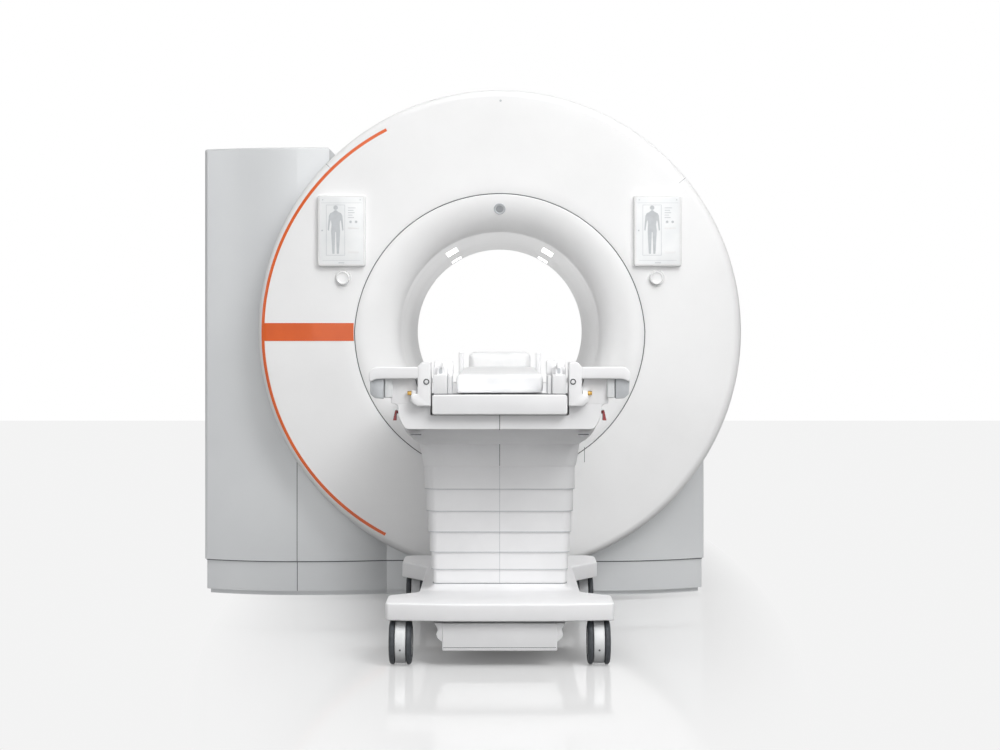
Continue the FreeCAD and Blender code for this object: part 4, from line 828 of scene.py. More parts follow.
class SCANNER_OT_panels(bpy.types.Operator):
    """Builds the two touch panels with their symbols, the knobs and the camera's bezel"""

    bl_idname = "scanner.panels"
    bl_label = "Touch panels"

    def execute(self, context):
        x_middle, z_middle = 0.625, AXIS_Z + 0.399
        front = FACE_Y - 0.026
        housings, glasses, marks, pale = [], [], [], []
        for side in (-1, 1):
            x = x_middle * side

            def rect(left, right, low, high, round_by=0.001, proud=0.0004):
                return block((x + left, front - 0.0006 - proud, z_middle + low),
                    (x + right, front - 0.0004, z_middle + high), 0.00015, round_by, "y")

            def dot(a, b, radius):
                rim = [(0, 0.0012), (radius, 0.0012), (radius, 0), (0, 0)]
                return turned(rim, (x + a, front, z_middle + b), steps=20)

            outline = rectangle((x - 0.095, z_middle - 0.142), (x + 0.095, z_middle + 0.142), 0.011)
            levels = [(0, FACE_Y + 0.001), (0, FACE_Y - 0.006), (0.0015, FACE_Y - 0.0075)]
            levels += [(0.0015, front + 0.004), (0.0027, front + 0.0012), (0.0055, front)]
            levels += [(0.008, front), (0.0084, front + 0.0012)]
            housings.append(slab(outline, levels, "y"))
            glasses.append(block((x - 0.0862, front - 0.0004, z_middle - 0.1332),
                (x + 0.0862, front + 0.002, z_middle + 0.1332), 0.0004, 0.004, "y"))
            marks += [rect(-0.08, 0.08, 0.1085, 0.1095), rect(-0.06, 0.014, 0.1, 0.1015),
                rect(-0.06, 0.014, -0.0985, -0.097), rect(-0.0605, -0.059, -0.0985, 0.1015),
                rect(0.0125, 0.014, -0.0985, 0.1015), rect(-0.075, 0.075, -0.1185, -0.1175),
                rect(-0.012, 0.012, -0.129, -0.1265), dot(-0.074, 0.121, 0.0022),
                dot(0.074, 0.121, 0.0022), dot(-0.076, 0.000, 0.003), dot(0.036, 0.034, 0.0052),
                dot(0.058, 0.034, 0.0052), human_figure(x - 0.023, front - 0.0004,
                z_middle + 0.002)]
            for number, length in enumerate((0.03, 0.022, 0.026, 0.018, 0.024)):
                level = 0.088 - number * 0.0095
                marks.append(rect(0.026, 0.026 + length, level, level + 0.0024))
            pale += [rect(0.026, 0.07, 0.006, 0.013), rect(0.026, 0.07, -0.09, -0.08)]
        add_piece("panel_bezels", merged(*housings), "panel_plastic", "magnet", ("panel_housings",))
        add_piece("panel_glass", merged(*glasses), "screen_glass", "magnet", ("panel_screens",))
        add_piece("panel_symbols", merged(*marks), "symbol_grey", "magnet")
        add_piece("panel_tabs", merged(*pale), "panel_plastic", "magnet")
        for name, side in SIDES:
            centre = (0.621 * side, FACE_Y, AXIS_Z + 0.212)
            profile = [(0, 0.017), (0.014, 0.0172), (0.019, 0.018), (0.021, 0.0196),
                (0.0228, 0.0205), (0.025, 0.0198), (0.0263, 0.018), (0.0265, 0.015),
                (0.0265, 0.0006), (0, 0.0006)]
            mark = block((centre[0] - 0.0009, FACE_Y - 0.0207, centre[2] + 0.0205),
                (centre[0] + 0.0009, FACE_Y - 0.018, centre[2] + 0.0245), 0.0003, 0.0006, "y")
            add_piece("knob_cap_" + name, turned(profile, centre), "panel_plastic", "knob_" + name,
                ("knob_" + name,))
            add_piece("knob_mark_" + name, mark, "symbol_grey", "knob_" + name)
            ring = [(0.0285, 0.0004), (0.0315, 0.0022), (0.0345, 0.0004), (0.0345, -0.001),
                (0.0285, -0.001)]
            angle = np.linspace(0, math.tau, 48, endpoint=False)
            rows = [np.stack([centre[0] + r * np.cos(angle), angle * 0 + FACE_Y - h,
                centre[2] + r * np.sin(angle)], -1) for r, h in ring]
            add_piece("knob_collar_" + name, loft(rows, closed=True), "cover_white", "magnet")
        tilt = (0.0, -0.917, -0.4)
        spot = (0.0, FACE_Y + 0.0121, AXIS_Z + 0.487)
        bezel = [(0.017, 0.0006), (0.019, 0.0026), (0.0215, 0.0026), (0.0235, 0.0004),
            (0.0235, -0.006), (0.017, -0.006)]
        lens = [(0, 0.0016), (0.008, 0.0014), (0.014, 0.0008), (0.0172, -0.0002), (0.0172, -0.005),
            (0, -0.005)]
        shape = turned(bezel + bezel[:1], spot, tilt)
        add_piece("camera_bezel", shape, "symbol_grey", "magnet")
        add_piece("camera_lens", turned(lens, spot, tilt), "lens_glass", "magnet",
            ("patient_camera",))
        return {"FINISHED"}


# ---------------------------------------------------------------- the table's base
def dog_bone():
    """The base's plan: a bowed bumper, a narrow waist and two rear ears, then its mirror."""
    low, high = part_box("trolley_base")
    wide, waist = high.x, 0.268
    front, rear = low.y, high.y
    right = [(wide * 0.5, front + 0.0085, 0.2), (wide, front + 0.034, 0.016), (wide, -2.19, 0.03),
        (waist, -2.11, 0.06), (waist, -1.45, 0.06), (wide, -1.31, 0.03), (wide, rear, 0.048)]
    left = [(-x, y, r) for x, y, r in reversed(right)]
    return rounded_outline(right + left, 8)


class SCANNER_OT_base(bpy.types.Operator):
    """Builds the table's base cover, its fairing, the pan and the brake pedal"""

    bl_idname = "scanner.base"
    bl_label = "Table base"

    def execute(self, context):
        low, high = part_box("trolley_base")
        outline = dog_bone()
        levels = [(0.006, low.z)] + soft_levels(low.z, high.z, 0.004, 0.006, 4)
        cover = add_piece("base_cover", slab(outline, levels), "table_white", "trolley",
            ("trolley_base",))
        shaft = ((-0.1, -1.9, low.z - 0.01), (0.1, -1.694, high.z + 0.03))
        open_up(cover, block(*shaft, 0.001, 0.004))
        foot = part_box("column_cover_6")
        gap = 0.0005
        plan = rectangle((foot[0].x - gap, foot[0].y - gap), (foot[1].x + gap, foot[1].y + gap),
            0.018, 8)
        rows = [(0.004, high.z - 0.002), (-0.04, high.z - 0.002)]
        for turn in np.linspace(0, math.pi / 2, 8):
            rows.append((-0.04 * (1 - math.sin(turn)) - 0.0006,
                high.z - 0.0004 + 0.022 * (1 - math.cos(turn))))
        rows += [(0.004, high.z + 0.0216)]
        add_piece("base_fairing", slab(plan, rows, closed=True), "table_white", "trolley")
        line = [(-0.0011, high.z + 0.0214), (-0.0011, high.z + 0.0232), (0.002, high.z + 0.0232),
            (0.002, high.z + 0.0214)]
        add_piece("base_fairing_line", slab(plan, line, closed=True), "joint_shadow", "trolley")
        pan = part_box("undercarriage_pan")
        # drawn out again from the origin, so the tray meets the pan's front and sides, not its rear
        shy = 0.006
        around = inset(rectangle(pan[0], pan[1], 0.014, 5), shy)
        around = around * (1 + shy / np.abs(around).max(axis=0))
        tray = [(0.006, pan[0].z), (0.002, pan[0].z + 0.002), (0, pan[0].z + 0.006), (0, pan[1].z)]
        tray += [(0.004, pan[1].z), (0.004, pan[0].z + 0.004)]
        add_piece("pan_tray", slab(around, tray), "table_white", "trolley", ("undercarriage_pan",))
        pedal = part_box("brake_pedal")
        half = 0.184
        plate = block((-half, pedal[0].y, 0.05), (half, pedal[0].y + 0.012, 0.139), 0.004, 0.006,
            "y")
        arm = rounded_outline([(0.18, 0.139, 0.001), (0.209, 0.139, 0.001), (0.202, 0.128, 0.004),
            (0.197, 0.116, 0.003), (0.203, 0.104, 0.003), (0.199, 0.092, 0.005),
            (0.18, 0.075, 0.004)], 4)
        bracket = slab(arm, soft_levels(pedal[0].y + 0.004, -2.166, 0.001, 0.001, 2), "y")
        add_piece("brake_bar", merged(plate, pair(bracket)), "table_white", "brake_pedal",
            ("brake_pedal",))
        ridge = block((-half + 0.004, pedal[0].y - 0.0006, 0.0612),
            (half - 0.004, pedal[0].y + 0.001, 0.0624), 0.0003)
        add_piece("brake_bar_line", ridge, "joint_shadow", "brake_pedal")
        return {"FINISHED"}


class SCANNER_OT_casters(bpy.types.Operator):
    """Builds the four twin-wheel casters"""

    bl_idname = "scanner.casters"
    bl_label = "Casters"

    def execute(self, context):
        radius = table().wheel_radius
        for name, side in CASTERS:
            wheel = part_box("caster_wheels_" + name)
            x = (wheel[0].x + wheel[1].x) / 2
            y = (wheel[0].y + wheel[1].y) / 2
            z = radius
            stem_y = y + 0.022
            tyre = [(0.04, 0.0186), (0.065, 0.0186), (0.0695, 0.0196), (0.0718, 0.0222),
                (radius, 0.026), (0.0712, 0.03), (0.069, 0.0332), (0.064, 0.0356), (0.056, 0.0369),
                (0.05, 0.037), (0.049, 0.036), (0.049, 0.034), (0.04, 0.032)]
            hub = [(0, 0.0186), (0.0495, 0.0186), (0.0495, 0.0345), (0.047, 0.0352), (0.03, 0.0352),
                (0.026, 0.0335), (0.014, 0.0335), (0.012, 0.0352), (0.006, 0.036), (0, 0.036)]
            tyres, hubs = [], []
            for outward in (-1, 1):
                axis = (outward, 0, 0)
                tyres.append(turned(tyre + tyre[:1], (x, y, z), axis))
                hubs.append(turned(hub, (x, y, z), axis))
                bolts = [turned([(0, 0.0362), (0.0028, 0.036), (0.0032, 0.035), (0.0032, 0.034),
                    (0, 0.034)], (x, y + 0.038 * math.cos(t), z + 0.038 * math.sin(t)), axis, 12)
                    for t in np.radians([90, 210, 330])]
                hubs += bolts
            add_piece("tyres_" + name, merged(*tyres), "tyre_grey", "wheels_" + name,
                ("caster_wheels_" + name,))
            add_piece("hubs_" + name, merged(*hubs), "fender_grey", "wheels_" + name)
            reach = 0.0678
            turn = np.radians(np.linspace(-228, 28, 45))
            rim = np.stack([y + reach * np.cos(turn), z + reach * np.sin(turn)], 1)
            crown = np.array([(stem_y + 0.026, 0.13), (stem_y + 0.024, 0.1475),
                (stem_y - 0.024, 0.1475)])
            outline = np.concatenate([rim, crown])
            shell = slab(outline, soft_levels(x - 0.0172, x + 0.0172, 0.003, 0.003, 3), "x")
            pin = turned([(0, -0.01), (0.017, -0.01), (0.017, 0.0004), (0, 0.0004)],
                (x, stem_y, 0.1475), (0, 0, 1), 32)
            screw = turned([(0, 0.0008), (0.0028, 0.0006), (0.0032, 0), (0.0032, -0.002),
                (0, -0.002)], (x, y - 0.0655, z - 0.0175), (0, -1, -0.27), 12)
            add_piece("fender_" + name, merged(shell, pin), "fender_grey", "swivel_" + name,
                ("caster_fork_" + name,))
            add_piece("fender_screw_" + name, screw, "joint_shadow", "swivel_" + name)
        return {"FINISHED"}


# ---------------------------------------------------------------- the lift column
def column_plan(number, corner=0.046):
    """A column cover's plan: a rectangle with large round corners, a step smaller each time."""
    low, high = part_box("column_cover_%d" % number)
    turn = corner - table().cover_gap * (number - 1)
    return rectangle(low, high, turn, 10)


class SCANNER_OT_column(bpy.types.Operator):
    """Builds the telescoping column covers, a grey band of painted shade under each one's lower
    edge, their seams, and the neck
    """

    bl_idname = "scanner.column"
    bl_label = "Lift column"

    def execute(self, context):
        bodies = {1: "lift", 6: "trolley"}
        wall = 0.005
        for number in range(1, 7):
            body = bodies.get(number, "cover_%d" % number)
            low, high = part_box("column_cover_%d" % number)
            plan = column_plan(number)
            rows = [(0, high.z), (0, low.z + 0.002), (0.0006, low.z + 0.0006), (0.002, low.z)]
            rows += [(wall - 0.001, low.z), (wall, low.z + 0.001), (wall, high.z)]
            add_piece("column_skin_%d" % number, slab(plan, rows, closed=True), "table_white", body,
                ("column_cover_%d" % number,))
            # the grey band at each cover's lower edge is painted shade: it stands for the shadow of
            # the step down to the next cover
            step_shade = [(-0.0003, low.z + 0.0001), (-0.0003, low.z + 0.0024), (0.001, low.z + 0.0024),
                (0.001, low.z + 0.0001)]
            add_piece("column_step_shade_%d" % number, slab(plan, step_shade, closed=True), "symbol_grey",
                body)
            top = high.z if number == 1 else high.z - 0.016
            seam = block((-0.0007, low.y - 0.00025, low.z + 0.0024), (0.0007, low.y + 0.0008, top),
                0.0001, 0.0002)
            add_piece("column_seam_%d" % number, seam, "symbol_grey", body)
        low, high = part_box("neck_cover")
        bottom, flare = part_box("column_cover_1")[1].z, 0.0131
        plan = rectangle((-0.256, -2.099), (0.256, -1.495), 0.046, 10)
        rows = [(0.006, high.z), (-flare, high.z)]
        rows += [(-flare * s, bottom + 0.078 * s) for s in np.linspace(0.95, 0.06, 6)]
        rows += [(-0.0003, bottom + 0.002), (0.0012, bottom), (0.006, bottom)]
        add_piece("neck_skin", slab(plan, rows, closed=True), "table_white", "lift",
            ("neck_cover",))
        seam = thick_sheet([[(-0.0008, -2.0996, bottom + 0.002), (0.0008, -2.0996, bottom + 0.002)],
            [(-0.0008, -2.1126, high.z), (0.0008, -2.1126, high.z)]],
            [[(-0.0008, -2.097, bottom + 0.002), (0.0008, -2.097, bottom + 0.002)],
            [(-0.0008, -2.11, high.z), (0.0008, -2.11, high.z)]])
        add_piece("neck_seam", seam, "joint_shadow", "lift")
        return {"FINISHED"}


# ---------------------------------------------------------------- the carrier and its fittings
def carrier_ring(y, drop, shrink=0.0):
    """The carrier's outline at one depth; drop is how far its belly has come down, from 0 to 1."""
    foot_z, knee_z, deck_z = 0.698, 0.7585, 0.868
    foot_x = 0.3 - (0.3 - 0.268) * drop**3
    belly = knee_z - (knee_z - foot_z) * drop
    right = [(foot_x, belly, 0.04), (0.312, 0.778, 0.02), (0.322, 0.8, 0.01),
        (0.3245, 0.834, 0.003), (0.346, 0.845, 0.005), (0.346, deck_z, 0.004),
        (0.218, deck_z, 0.002), (0.218, 0.8057, 0.002)]
    outline = rounded_outline(right + [(-x, z, r) for x, z, r in reversed(right)], 6)
    return placed(inset(outline, shrink), y, "y")


class SCANNER_OT_carrier(bpy.types.Operator):
    """Builds the carrier shell, the brackets, the push handles and their small fittings"""

    bl_idname = "scanner.carrier"
    bl_label = "Carrier"

    def execute(self, context):
        front, rear, slope = -2.385, -1.000, 0.23
        depths = []
        for share in np.linspace(0, 1, 14):
            depths.append((front + 0.003 + slope * share, 1 - (1 - share) ** 1.7))
        depths += [(y, 1.0) for y in np.linspace(front + slope + 0.03, rear - slope - 0.03, 8)]
        for share in np.linspace(1, 0, 12):
            depths.append((rear - 0.003 - slope * share, 1 - (1 - share) ** 1.7))
        rings = [carrier_ring(front, 0.0, 0.0022), carrier_ring(front + 0.0008, 0.0, 0.0008)]
        rings += [carrier_ring(y, drop) for y, drop in depths]
        rings += [carrier_ring(rear, 0.0, 0.002)]
        add_piece("carrier_body", loft(rings), "table_white", "lift", ("carrier_shell",), smooth=25)
        seam = block((-0.0009, front - 0.0004, 0.7565), (0.0009, front + 0.001, 0.8055), 0.0002,
            0.0004)
        slots = both_sides((0.25, front + 0.004, 0.7405), (0.284, front + 0.024, 0.7425), 0.0006,
            0.001)
        add_piece("carrier_lines", merged(seam, slots), "joint_shadow", "lift")
        outline = rounded_outline([(0.2185, 0.833, 0.002), (0.262, 0.833, 0.002),
            (0.2812, 0.848, 0.002), (0.2812, 0.868, 0.003), (0.2605, 0.872, 0.004),
            (0.259, 0.96, 0.01), (0.248, 0.972, 0.008), (0.2185, 0.972, 0.004)], 4)
        bracket = slab(outline, soft_levels(-2.4195, -2.312, 0.003, 0.003, 3), "y")
        add_piece("bracket_blocks", pair(bracket), "table_white", "lift", ("handle_brackets",))
        fittings, screws, plugs = [], [], []
        ring = [(0.0062, 0.0002), (0.0066, 0.0014), (0.0092, 0.0014), (0.0096, 0.0),
            (0.0096, -0.004), (0.0062, -0.004)]
        cap = [(0, 0.001), (0.005, 0.0008), (0.0063, 0.0), (0.0063, -0.003), (0, -0.003)]
        brass = [(0, 0.013), (0.006, 0.013), (0.0068, 0.0122), (0.0068, 0.01), (0.0058, 0.0096),
            (0.0058, 0.007), (0.0074, 0.0066), (0.0074, 0.002), (0.006, 0.0016), (0.006, -0.002),
            (0, -0.002)]
        for _, side in SIDES:
            spot = (0.232 * side, -2.4195, 0.911)
            fittings.append(turned(ring + ring[:1], spot, steps=32))
            screws.append(turned(cap, spot, steps=32))
            plugs.append(turned(brass, (0.2795 * side, -2.398, 0.8745), (side, 0, 0), 24))
            notch = rounded_outline([(0.2655 * side, 0.918, 0.0002), (0.268 * side, 0.918, 0.0002),
                (0.26 * side, 0.886, 0.0002), (0.257 * side, 0.886, 0.0002)], 2)
            fittings.append(slab(notch, [(0, -2.3925), (0, -2.386)], "y"))
        add_piece("pivot_rings", merged(*fittings), "joint_shadow", "lift")
        add_piece("pivot_caps", merged(*screws), "table_white", "lift")
        add_piece("brass_connectors", merged(*plugs), "connector_brass", "lift")
        holder = rounded_outline([(0.263, 0.842, 0.002), (0.27, 0.844, 0.003),
            (0.2795, 0.856, 0.003), (0.2795, 0.883, 0.003), (0.263, 0.883, 0.002)], 3)
        tab = slab(holder, soft_levels(-2.406, -2.384, 0.0015, 0.0015, 2), "y")
        add_piece("connector_holders", pair(tab), "panel_plastic", "lift")
        cheek = rounded_outline([(0.256, 0.84, 0.002), (0.344, 0.84, 0.004), (0.346, 0.848, 0.004),
            (0.346, 0.93, 0.004), (0.256, 0.93, 0.002)], 3)
        side_wall = slab(cheek, soft_levels(-2.3855, -2.065, 0.0015, 0.02, 4), "y")
        add_piece("carrier_cheeks", pair(side_wall), "table_white", "lift")
        # the handle's outer end is drawn in grey: painted shade for the side of the white handle
        # turned away from the light
        end = rounded_outline([(0.367, 0.856, 0.003), (0.396, 0.8585, 0.016), (0.41, 0.872, 0.012),
            (0.412, 0.912, 0.014), (0.398, 0.94, 0.01), (0.367, 0.94, 0.003)], 7)
        tail = end + np.array([0.011, 0.0])
        rows = [placed(shrunk(end, share), y, "y") for share,
            y in ((0.9, -2.406), (0.97, -2.4045), (1.0, -2.4))]
        for share in np.linspace(0, 1, 12)[1:]:
            swing = math.sin(share * math.pi / 2) * 0.9
            rows.append(placed(end * (1 - swing) + tail * swing, -2.4 + 0.337 * share, "y"))
        rows += [placed(shrunk(tail, 0.94), -2.06, "y")]
        shaded_end = loft(rows)
        inner = block((0.341, -2.4, 0.859), (0.3664, -2.07, 0.93), 0.004, 0.005, "y")
        top = rounded_outline([(0.25, 0.9205, 0.008), (0.39, 0.9195, 0.03), (0.4135, 0.908, 0.006),
            (0.415, 0.94, 0.02), (0.398, 0.9575, 0.016), (0.25, 0.9575, 0.008)], 7)
        band = slab(top, soft_levels(-2.418, -2.365, 0.004, 0.004, 4), "y")
        seam = block((0.3662, -2.403, 0.86), (0.3672, -2.39, 0.92), 0.0002, 0.0004)
        for name, side in SIDES:
            for title, shape, finish in (("push_band_", band, "table_white"),
                    ("push_end_shade_", shaded_end, "symbol_grey"), ("push_root_", inner, "fender_grey"),
                    ("push_seam_", seam, "joint_shadow")):
                shape = mirrored(shape) if side < 0 else shape
                nodes = ("push_handle_" + name,) if title == "push_end_shade_" else ()
                add_piece(title + name, shape, finish, "lift", nodes)
        return {"FINISHED"}


# ---------------------------------------------------------------- the tabletop
class SCANNER_OT_tabletop(bpy.types.Operator):
    """Builds the tabletop, its side rails, the coil sockets and the head posts"""

    bl_idname = "scanner.tabletop"
    bl_label = "Tabletop"

    def execute(self, context):
        low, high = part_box("tabletop")
        half = high.x
        board = rounded_outline([(-half + 0.022, low.z, 0.006), (half - 0.022, low.z, 0.006),
            (half, low.z + 0.022, 0.006), (half, high.z, 0.003), (half - 0.012, high.z, 0.001),
            (half - 0.014, high.z - 0.004, 0.001), (-half + 0.014, high.z - 0.004, 0.001),
            (-half + 0.012, high.z, 0.001), (-half, high.z, 0.003), (-half, low.z + 0.022, 0.006)],
            4)
        length = slab(board, soft_levels(low.y + 0.02, high.y, 0.002, 0.004, 3), "y")
        plate = block((-half, low.y, low.z), (half, low.y + 0.026, high.z - 0.0015), 0.005, 0.008,
            "y")
        add_piece("tabletop_board", merged(length, plate), "table_white", "tabletop", ("tabletop",))
        line = block((-half + 0.001, low.y + 0.004, high.z - 0.0018),
            (half - 0.001, low.y + 0.026, high.z + 0.0004), 0.0004, 0.001)
        dots = [turned([(0, 0.0012), (0.0036, 0.001), (0.0042, 0), (0.0042, -0.003), (0, -0.003)],
            (x, low.y + 0.003, high.z - 0.001), steps=20) for x in (-0.2115, 0.2115)]
        small = [turned([(0, 0.001), (0.0036, 0.001), (0.004, 0), (0.004, -0.003), (0, -0.003)],
            (-0.1545, -2.2925, 0.966), steps=20)]
        add_piece("tabletop_gasket", merged(line, *dots, *small), "joint_shadow", "tabletop")
        shapes = [both_sides((0.1665, -2.4045, 0.871), (0.2115, -2.36, 0.9335), 0.003, 0.004, "y"),
            both_sides((0.152, -2.396, 0.871), (0.165, -2.24, 0.93), 0.002, 0.003, "y"),
            both_sides((0.176, -2.39, 0.93), (0.199, -2.362, 0.96), 0.002, 0.003, "y"),
            both_sides((0.168, -2.356, 0.871), (0.212, -2.24, 0.956), 0.003, 0.005, "y"),
            both_sides((0.15, -2.3, 0.928), (0.212, -2.232, 0.976), 0.005, 0.008, "y"),
            both_sides((0.18, -2.396, 0.955), (0.187, -2.37, 0.972), 0.001, 0.002, "y")]
        add_piece("coil_socket_blocks", merged(*shapes), "table_white", "tabletop",
            ("coil_sockets",))
        grooves = [both_sides((0.1655, -2.401, 0.872), (0.1662, -2.37, 0.93), 0.0001, 0.0002),
            both_sides((0.15, -2.3945, 0.872), (0.1516, -2.36, 0.928), 0.0002, 0.0003),
            both_sides((0.183, -2.3908, 0.936), (0.193, -2.388, 0.953), 0.0004, 0.003, "y")]
        add_piece("coil_socket_lines", merged(*grooves), "symbol_grey", "tabletop")
        rails = both_sides((0.195, -2.225, 0.8705), (0.212, -0.965, 0.883), 0.003, 0.005, "y")
        posts = both_sides((0.14, -1.06, 0.87), (0.16, -1.035, 0.988), 0.004, 0.006)
        arms = both_sides((0.115, -1.056, 0.9), (0.144, -1.04, 0.912), 0.003, 0.004)
        add_piece("tabletop_rails", merged(rails, posts, arms), "table_white", "tabletop")
        return {"FINISHED"}


# ---------------------------------------------------------------- padding
def pad_shape(low, high, crown, corner, edge):
    """A crowned pad: a rounded plan whose top rises towards the middle and whose sides pull in."""
    outline = rectangle(low, high, corner, 8)
    centre = np.array([(low.x + high.x) / 2, (low.y + high.y) / 2])
    height = high.z - crown
    rows = [placed(inset(outline, 0.006), low.z, "z")]
    rows += [placed(inset(outline, 0.0018), low.z + 0.003, "z")]
    rows += [placed(inset(outline, 0.0006 + 0.0012 * math.sin(s * math.pi)),
        low.z + 0.006 + s * (height - low.z - 0.006 - edge), "z") for s in np.linspace(0, 1, 6)]
    for turn in np.linspace(0, math.pi / 2, 8)[1:]:
        rows.append(placed(inset(outline, edge * (1 - math.cos(turn))),
            height - edge + edge * math.sin(turn), "z"))
    base = inset(outline, edge)
    for share in np.linspace(0, 1, 9)[1:-1]:
        ring = base * (1 - share) + (centre + (base - centre) * 0.02) * share
        level = height + crown * (1 - (1 - share) ** 2.4)
        rows.append(placed(ring, level, "z"))
    return loft(rows)


def swollen(piece, low, high, pressure=4.0, most=0.004, voxel=0.008, frames=20):
    """Blows a pad up as cloth under pressure, by no more than a few millimetres."""
    even = piece.modifiers.new("even_skin", "REMESH")
    even.mode, even.voxel_size = "VOXEL", voxel
    kept(piece, even)
    count = len(piece.data.vertices)
    start = np.empty(count * 3)
    piece.data.vertices.foreach_get("co", start)
    cloth = piece.modifiers.new("foam_pressure", "CLOTH")
    cloth.settings.use_pressure = True
    cloth.settings.uniform_pressure_force = pressure
    cloth.settings.effector_weights.gravity = 0.0
    for number in range(1, frames + 1):
        bpy.context.scene.frame_set(number)
    kept(piece, cloth)
    end = np.empty(count * 3)
    piece.data.vertices.foreach_get("co", end)
    start, end = start.reshape(-1, 3), end.reshape(-1, 3)
    moved = end - start
    length = np.linalg.norm(moved, axis=1, keepdims=True) + 1e-12
    place = start + moved * np.minimum(1, most / length)
    place = np.clip(place, np.array(low), np.array(high))
    piece.data.vertices.foreach_set("co", place.ravel())
    finer = piece.modifiers.new("finer", "SUBSURF")
    finer.levels = finer.render_levels = 1
    kept(piece, finer)
    piece.data.polygons.foreach_set("use_smooth", np.ones(len(piece.data.polygons), bool))
    bpy.context.scene.frame_set(1)


class SCANNER_OT_padding(bpy.types.Operator):
    """Builds the mattress and the head pad, swollen by their foam"""

    bl_idname = "scanner.padding"
    bl_label = "Padding"

    def execute(self, context):
        low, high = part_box("mattress")
        mattress = add_piece("mattress_pad", pad_shape(low, high, table().pad_crown, 0.012, 0.008),
            "mattress_vinyl", "tabletop", ("mattress",))
        swollen(mattress, low, high)
        low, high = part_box("headrest")
        headrest = add_piece("headrest_pad", pad_shape(low, high, 0.004, 0.016, 0.012),
            "mattress_vinyl", "tabletop", ("headrest",))
        swollen(headrest, low, high, voxel=0.005)
        return {"FINISHED"}


# ---------------------------------------------------------------- carried-over nodes and stage
class SCANNER_OT_finishes(bpy.types.Operator):
    """Gives every node carried over from the frame the finish of its slot"""

    bl_idname = "scanner.finishes"
    bl_label = "Frame finishes"

    def execute(self, context):
        for part in frame["record"]["subparts"]:
            node = frame["nodes"][part["node"]]
            finish = surface(part["material_slot"])
            node.data.materials.clear()
            node.data.materials.append(finish)
        return {"FINISHED"}


class SCANNER_OT_stage(bpy.types.Operator):
    """Sets the pale floor, the soft studio lights and the camera"""

    bl_idname = "scanner.stage"
    bl_label = "Stage"

    def execute(self, context):
        scene = context.scene
        scene.view_settings.view_transform = "Standard"
        world = bpy.data.worlds.new("studio_white")
        scene.world = world
        world.use_nodes = True
        tree = world.node_tree
        tree.nodes.clear()
        up = add_node(tree, "ShaderNodeTexCoord").outputs["Generated"]
        height = add_node(tree, "ShaderNodeSeparateXYZ", None, {"Vector": up}).outputs["Z"]
        sky = add_node(tree, "ShaderNodeMapRange", {"From Min": -0.25, "From Max": 0.45,
            "To Min": 0.11, "To Max": 0.43}, {"Value": height})
        soft = add_node(tree, "ShaderNodeBackground", {"Color": linear("#FFFFFF")},
            {"Strength": sky.outputs[0]})
        white = add_node(tree, "ShaderNodeBackground", {"Color": linear("#FFFFFF"),
            "Strength": 1.0})
        seen = add_node(tree, "ShaderNodeLightPath").outputs["Is Camera Ray"]
        mix = add_node(tree, "ShaderNodeMixShader", None, {0: seen, 1: soft.outputs[0],
            2: white.outputs[0]})
        add_node(tree, "ShaderNodeOutputWorld", None, {"Surface": mix.outputs[0]})

        half = 14.0
        mesh = bpy.data.meshes.new("studio_floor")
        mesh.from_pydata([(-half, -half, 0), (half, -half, 0), (half, half, 0), (-half, half, 0)],
            [], [(0, 1, 2, 3)])
        floor = bpy.data.objects.new("studio_floor", mesh)
        scene.collection.objects.link(floor)
        mesh.materials.append(studio_floor())
        floor.visible_diffuse = False

        for name, place, aim, size, power in (("key", (2.8, -6.2, 4.6), (0, -0.6, 1.0), 3.0, 205),
                ("front", (0.4, -9.2, 1.7), (0, -1.2, 1.0), 4.0, 84),
                ("top", (0.4, -4.2, 6.0), (0, -1.6, 0.6), 4.0, 105),
                ("left", (-6.0, -4.5, 2.6), (-0.8, -0.5, 1.2), 3.0, 40),
                ("back", (0.0, 5.5, 1.6), (0, 0.4, 1.07), 3.0, 16)):
            data = bpy.data.lights.new(name, "AREA")
            data.size = size
            data.energy = power
            lamp = bpy.data.objects.new(name, data)
            scene.collection.objects.link(lamp)
            lamp.location = place
            direction = np.array(aim) - np.array(place)
            lamp.rotation_euler = aim_angles(direction)

        data = bpy.data.cameras.new("camera")
        data.lens = 66.9
        data.sensor_width = 36.0
        data.shift_x = 0.0003
        data.shift_y = -0.0435
        camera = bpy.data.objects.new("camera", data)
        scene.collection.objects.link(camera)
        camera.location = (0.0, -8.295, AXIS_Z)
        camera.rotation_euler = (math.radians(90), 0, 0)
        scene.camera = camera
        return {"FINISHED"}


def aim_angles(direction):
    """Euler angles that point a lamp's -Z along a direction."""
    x, y, z = direction / np.linalg.norm(direction)
    return (math.acos(-z), 0.0, math.atan2(y, x) - math.pi / 2)


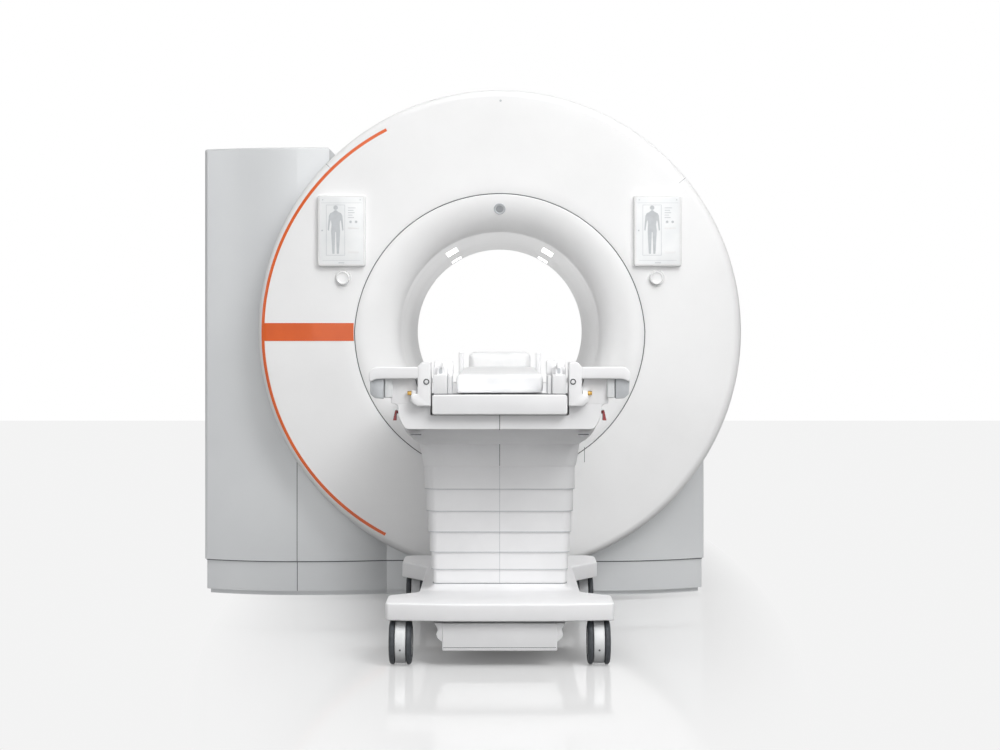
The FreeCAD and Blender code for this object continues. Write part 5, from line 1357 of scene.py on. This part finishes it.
def studio_floor():
    """Glossy white studio floor: reflections near the object, fading to plain white further out."""
    material, tree, shader, place = new_surface("polished_floor")
    shader.inputs["Base Color"].default_value = linear("#FAFAFA")
    shader.inputs["Roughness"].default_value = 0.07
    shader.inputs["Specular IOR Level"].default_value = 0.5
    glow = add_node(tree, "ShaderNodeEmission", {"Color": linear("#FFFFFF"), "Strength": 0.9})
    scaled = add_node(tree, "ShaderNodeMapping", {"Scale": (0.6, 0.13, 1)}, {"Vector": place})
    away = add_node(tree, "ShaderNodeVectorMath", {"operation": "LENGTH"}, {0: scaled.outputs[0]})
    fade = add_node(tree, "ShaderNodeMapRange", {"From Min": 0.26, "From Max": 0.66},
        {"Value": away.outputs["Value"]})
    mix = add_node(tree, "ShaderNodeMixShader", None, {0: fade.outputs[0], 1: shader.outputs[0],
        2: glow.outputs[0]})
    output = [n for n in tree.nodes if n.type == "OUTPUT_MATERIAL"][0]
    tree.links.new(mix.outputs[0], output.inputs["Surface"])
    return material


# ---------------------------------------------------------------- panel and registration
STEPS = (SCANNER_OT_finishes, SCANNER_OT_round_covers, SCANNER_OT_shrouds, SCANNER_OT_skirt_seams,
    SCANNER_OT_bore, SCANNER_OT_accents, SCANNER_OT_panels, SCANNER_OT_base, SCANNER_OT_casters,
    SCANNER_OT_column, SCANNER_OT_carrier, SCANNER_OT_tabletop, SCANNER_OT_padding,
    SCANNER_OT_stage)


class SCANNER_PT_parts(bpy.types.Panel):
    """Lists the scanner's pieces and the values they are built from"""

    bl_idname = "SCANNER_PT_parts"
    bl_label = "Scanner"
    bl_space_type = "VIEW_3D"
    bl_region_type = "UI"
    bl_category = "Scanner"

    def draw(self, context):
        for values in (colours(), magnet(), table()):
            for name in values.__annotations__:
                self.layout.prop(values, name)
        for step in STEPS:
            self.layout.operator(step.bl_idname)


GROUPS = {"scanner_colours": ScannerColours, "scanner_magnet": ScannerMagnet,
    "scanner_table": ScannerTable}
CLASSES = (*GROUPS.values(), *STEPS, SCANNER_PT_parts)


def register():
    for cls in CLASSES:
        bpy.utils.register_class(cls)
    for name, group in GROUPS.items():
        setattr(bpy.types.Scene, name, bpy.props.PointerProperty(type=group))


def unregister():
    for name in GROUPS:
        delattr(bpy.types.Scene, name)
    for cls in reversed(CLASSES):
        bpy.utils.unregister_class(cls)


def main():
    """Builds every piece in order."""
    register()
    for step in STEPS:
        getattr(bpy.ops.scanner, step.bl_idname.split(".")[1])()


if __name__ == "__main__":
    main()
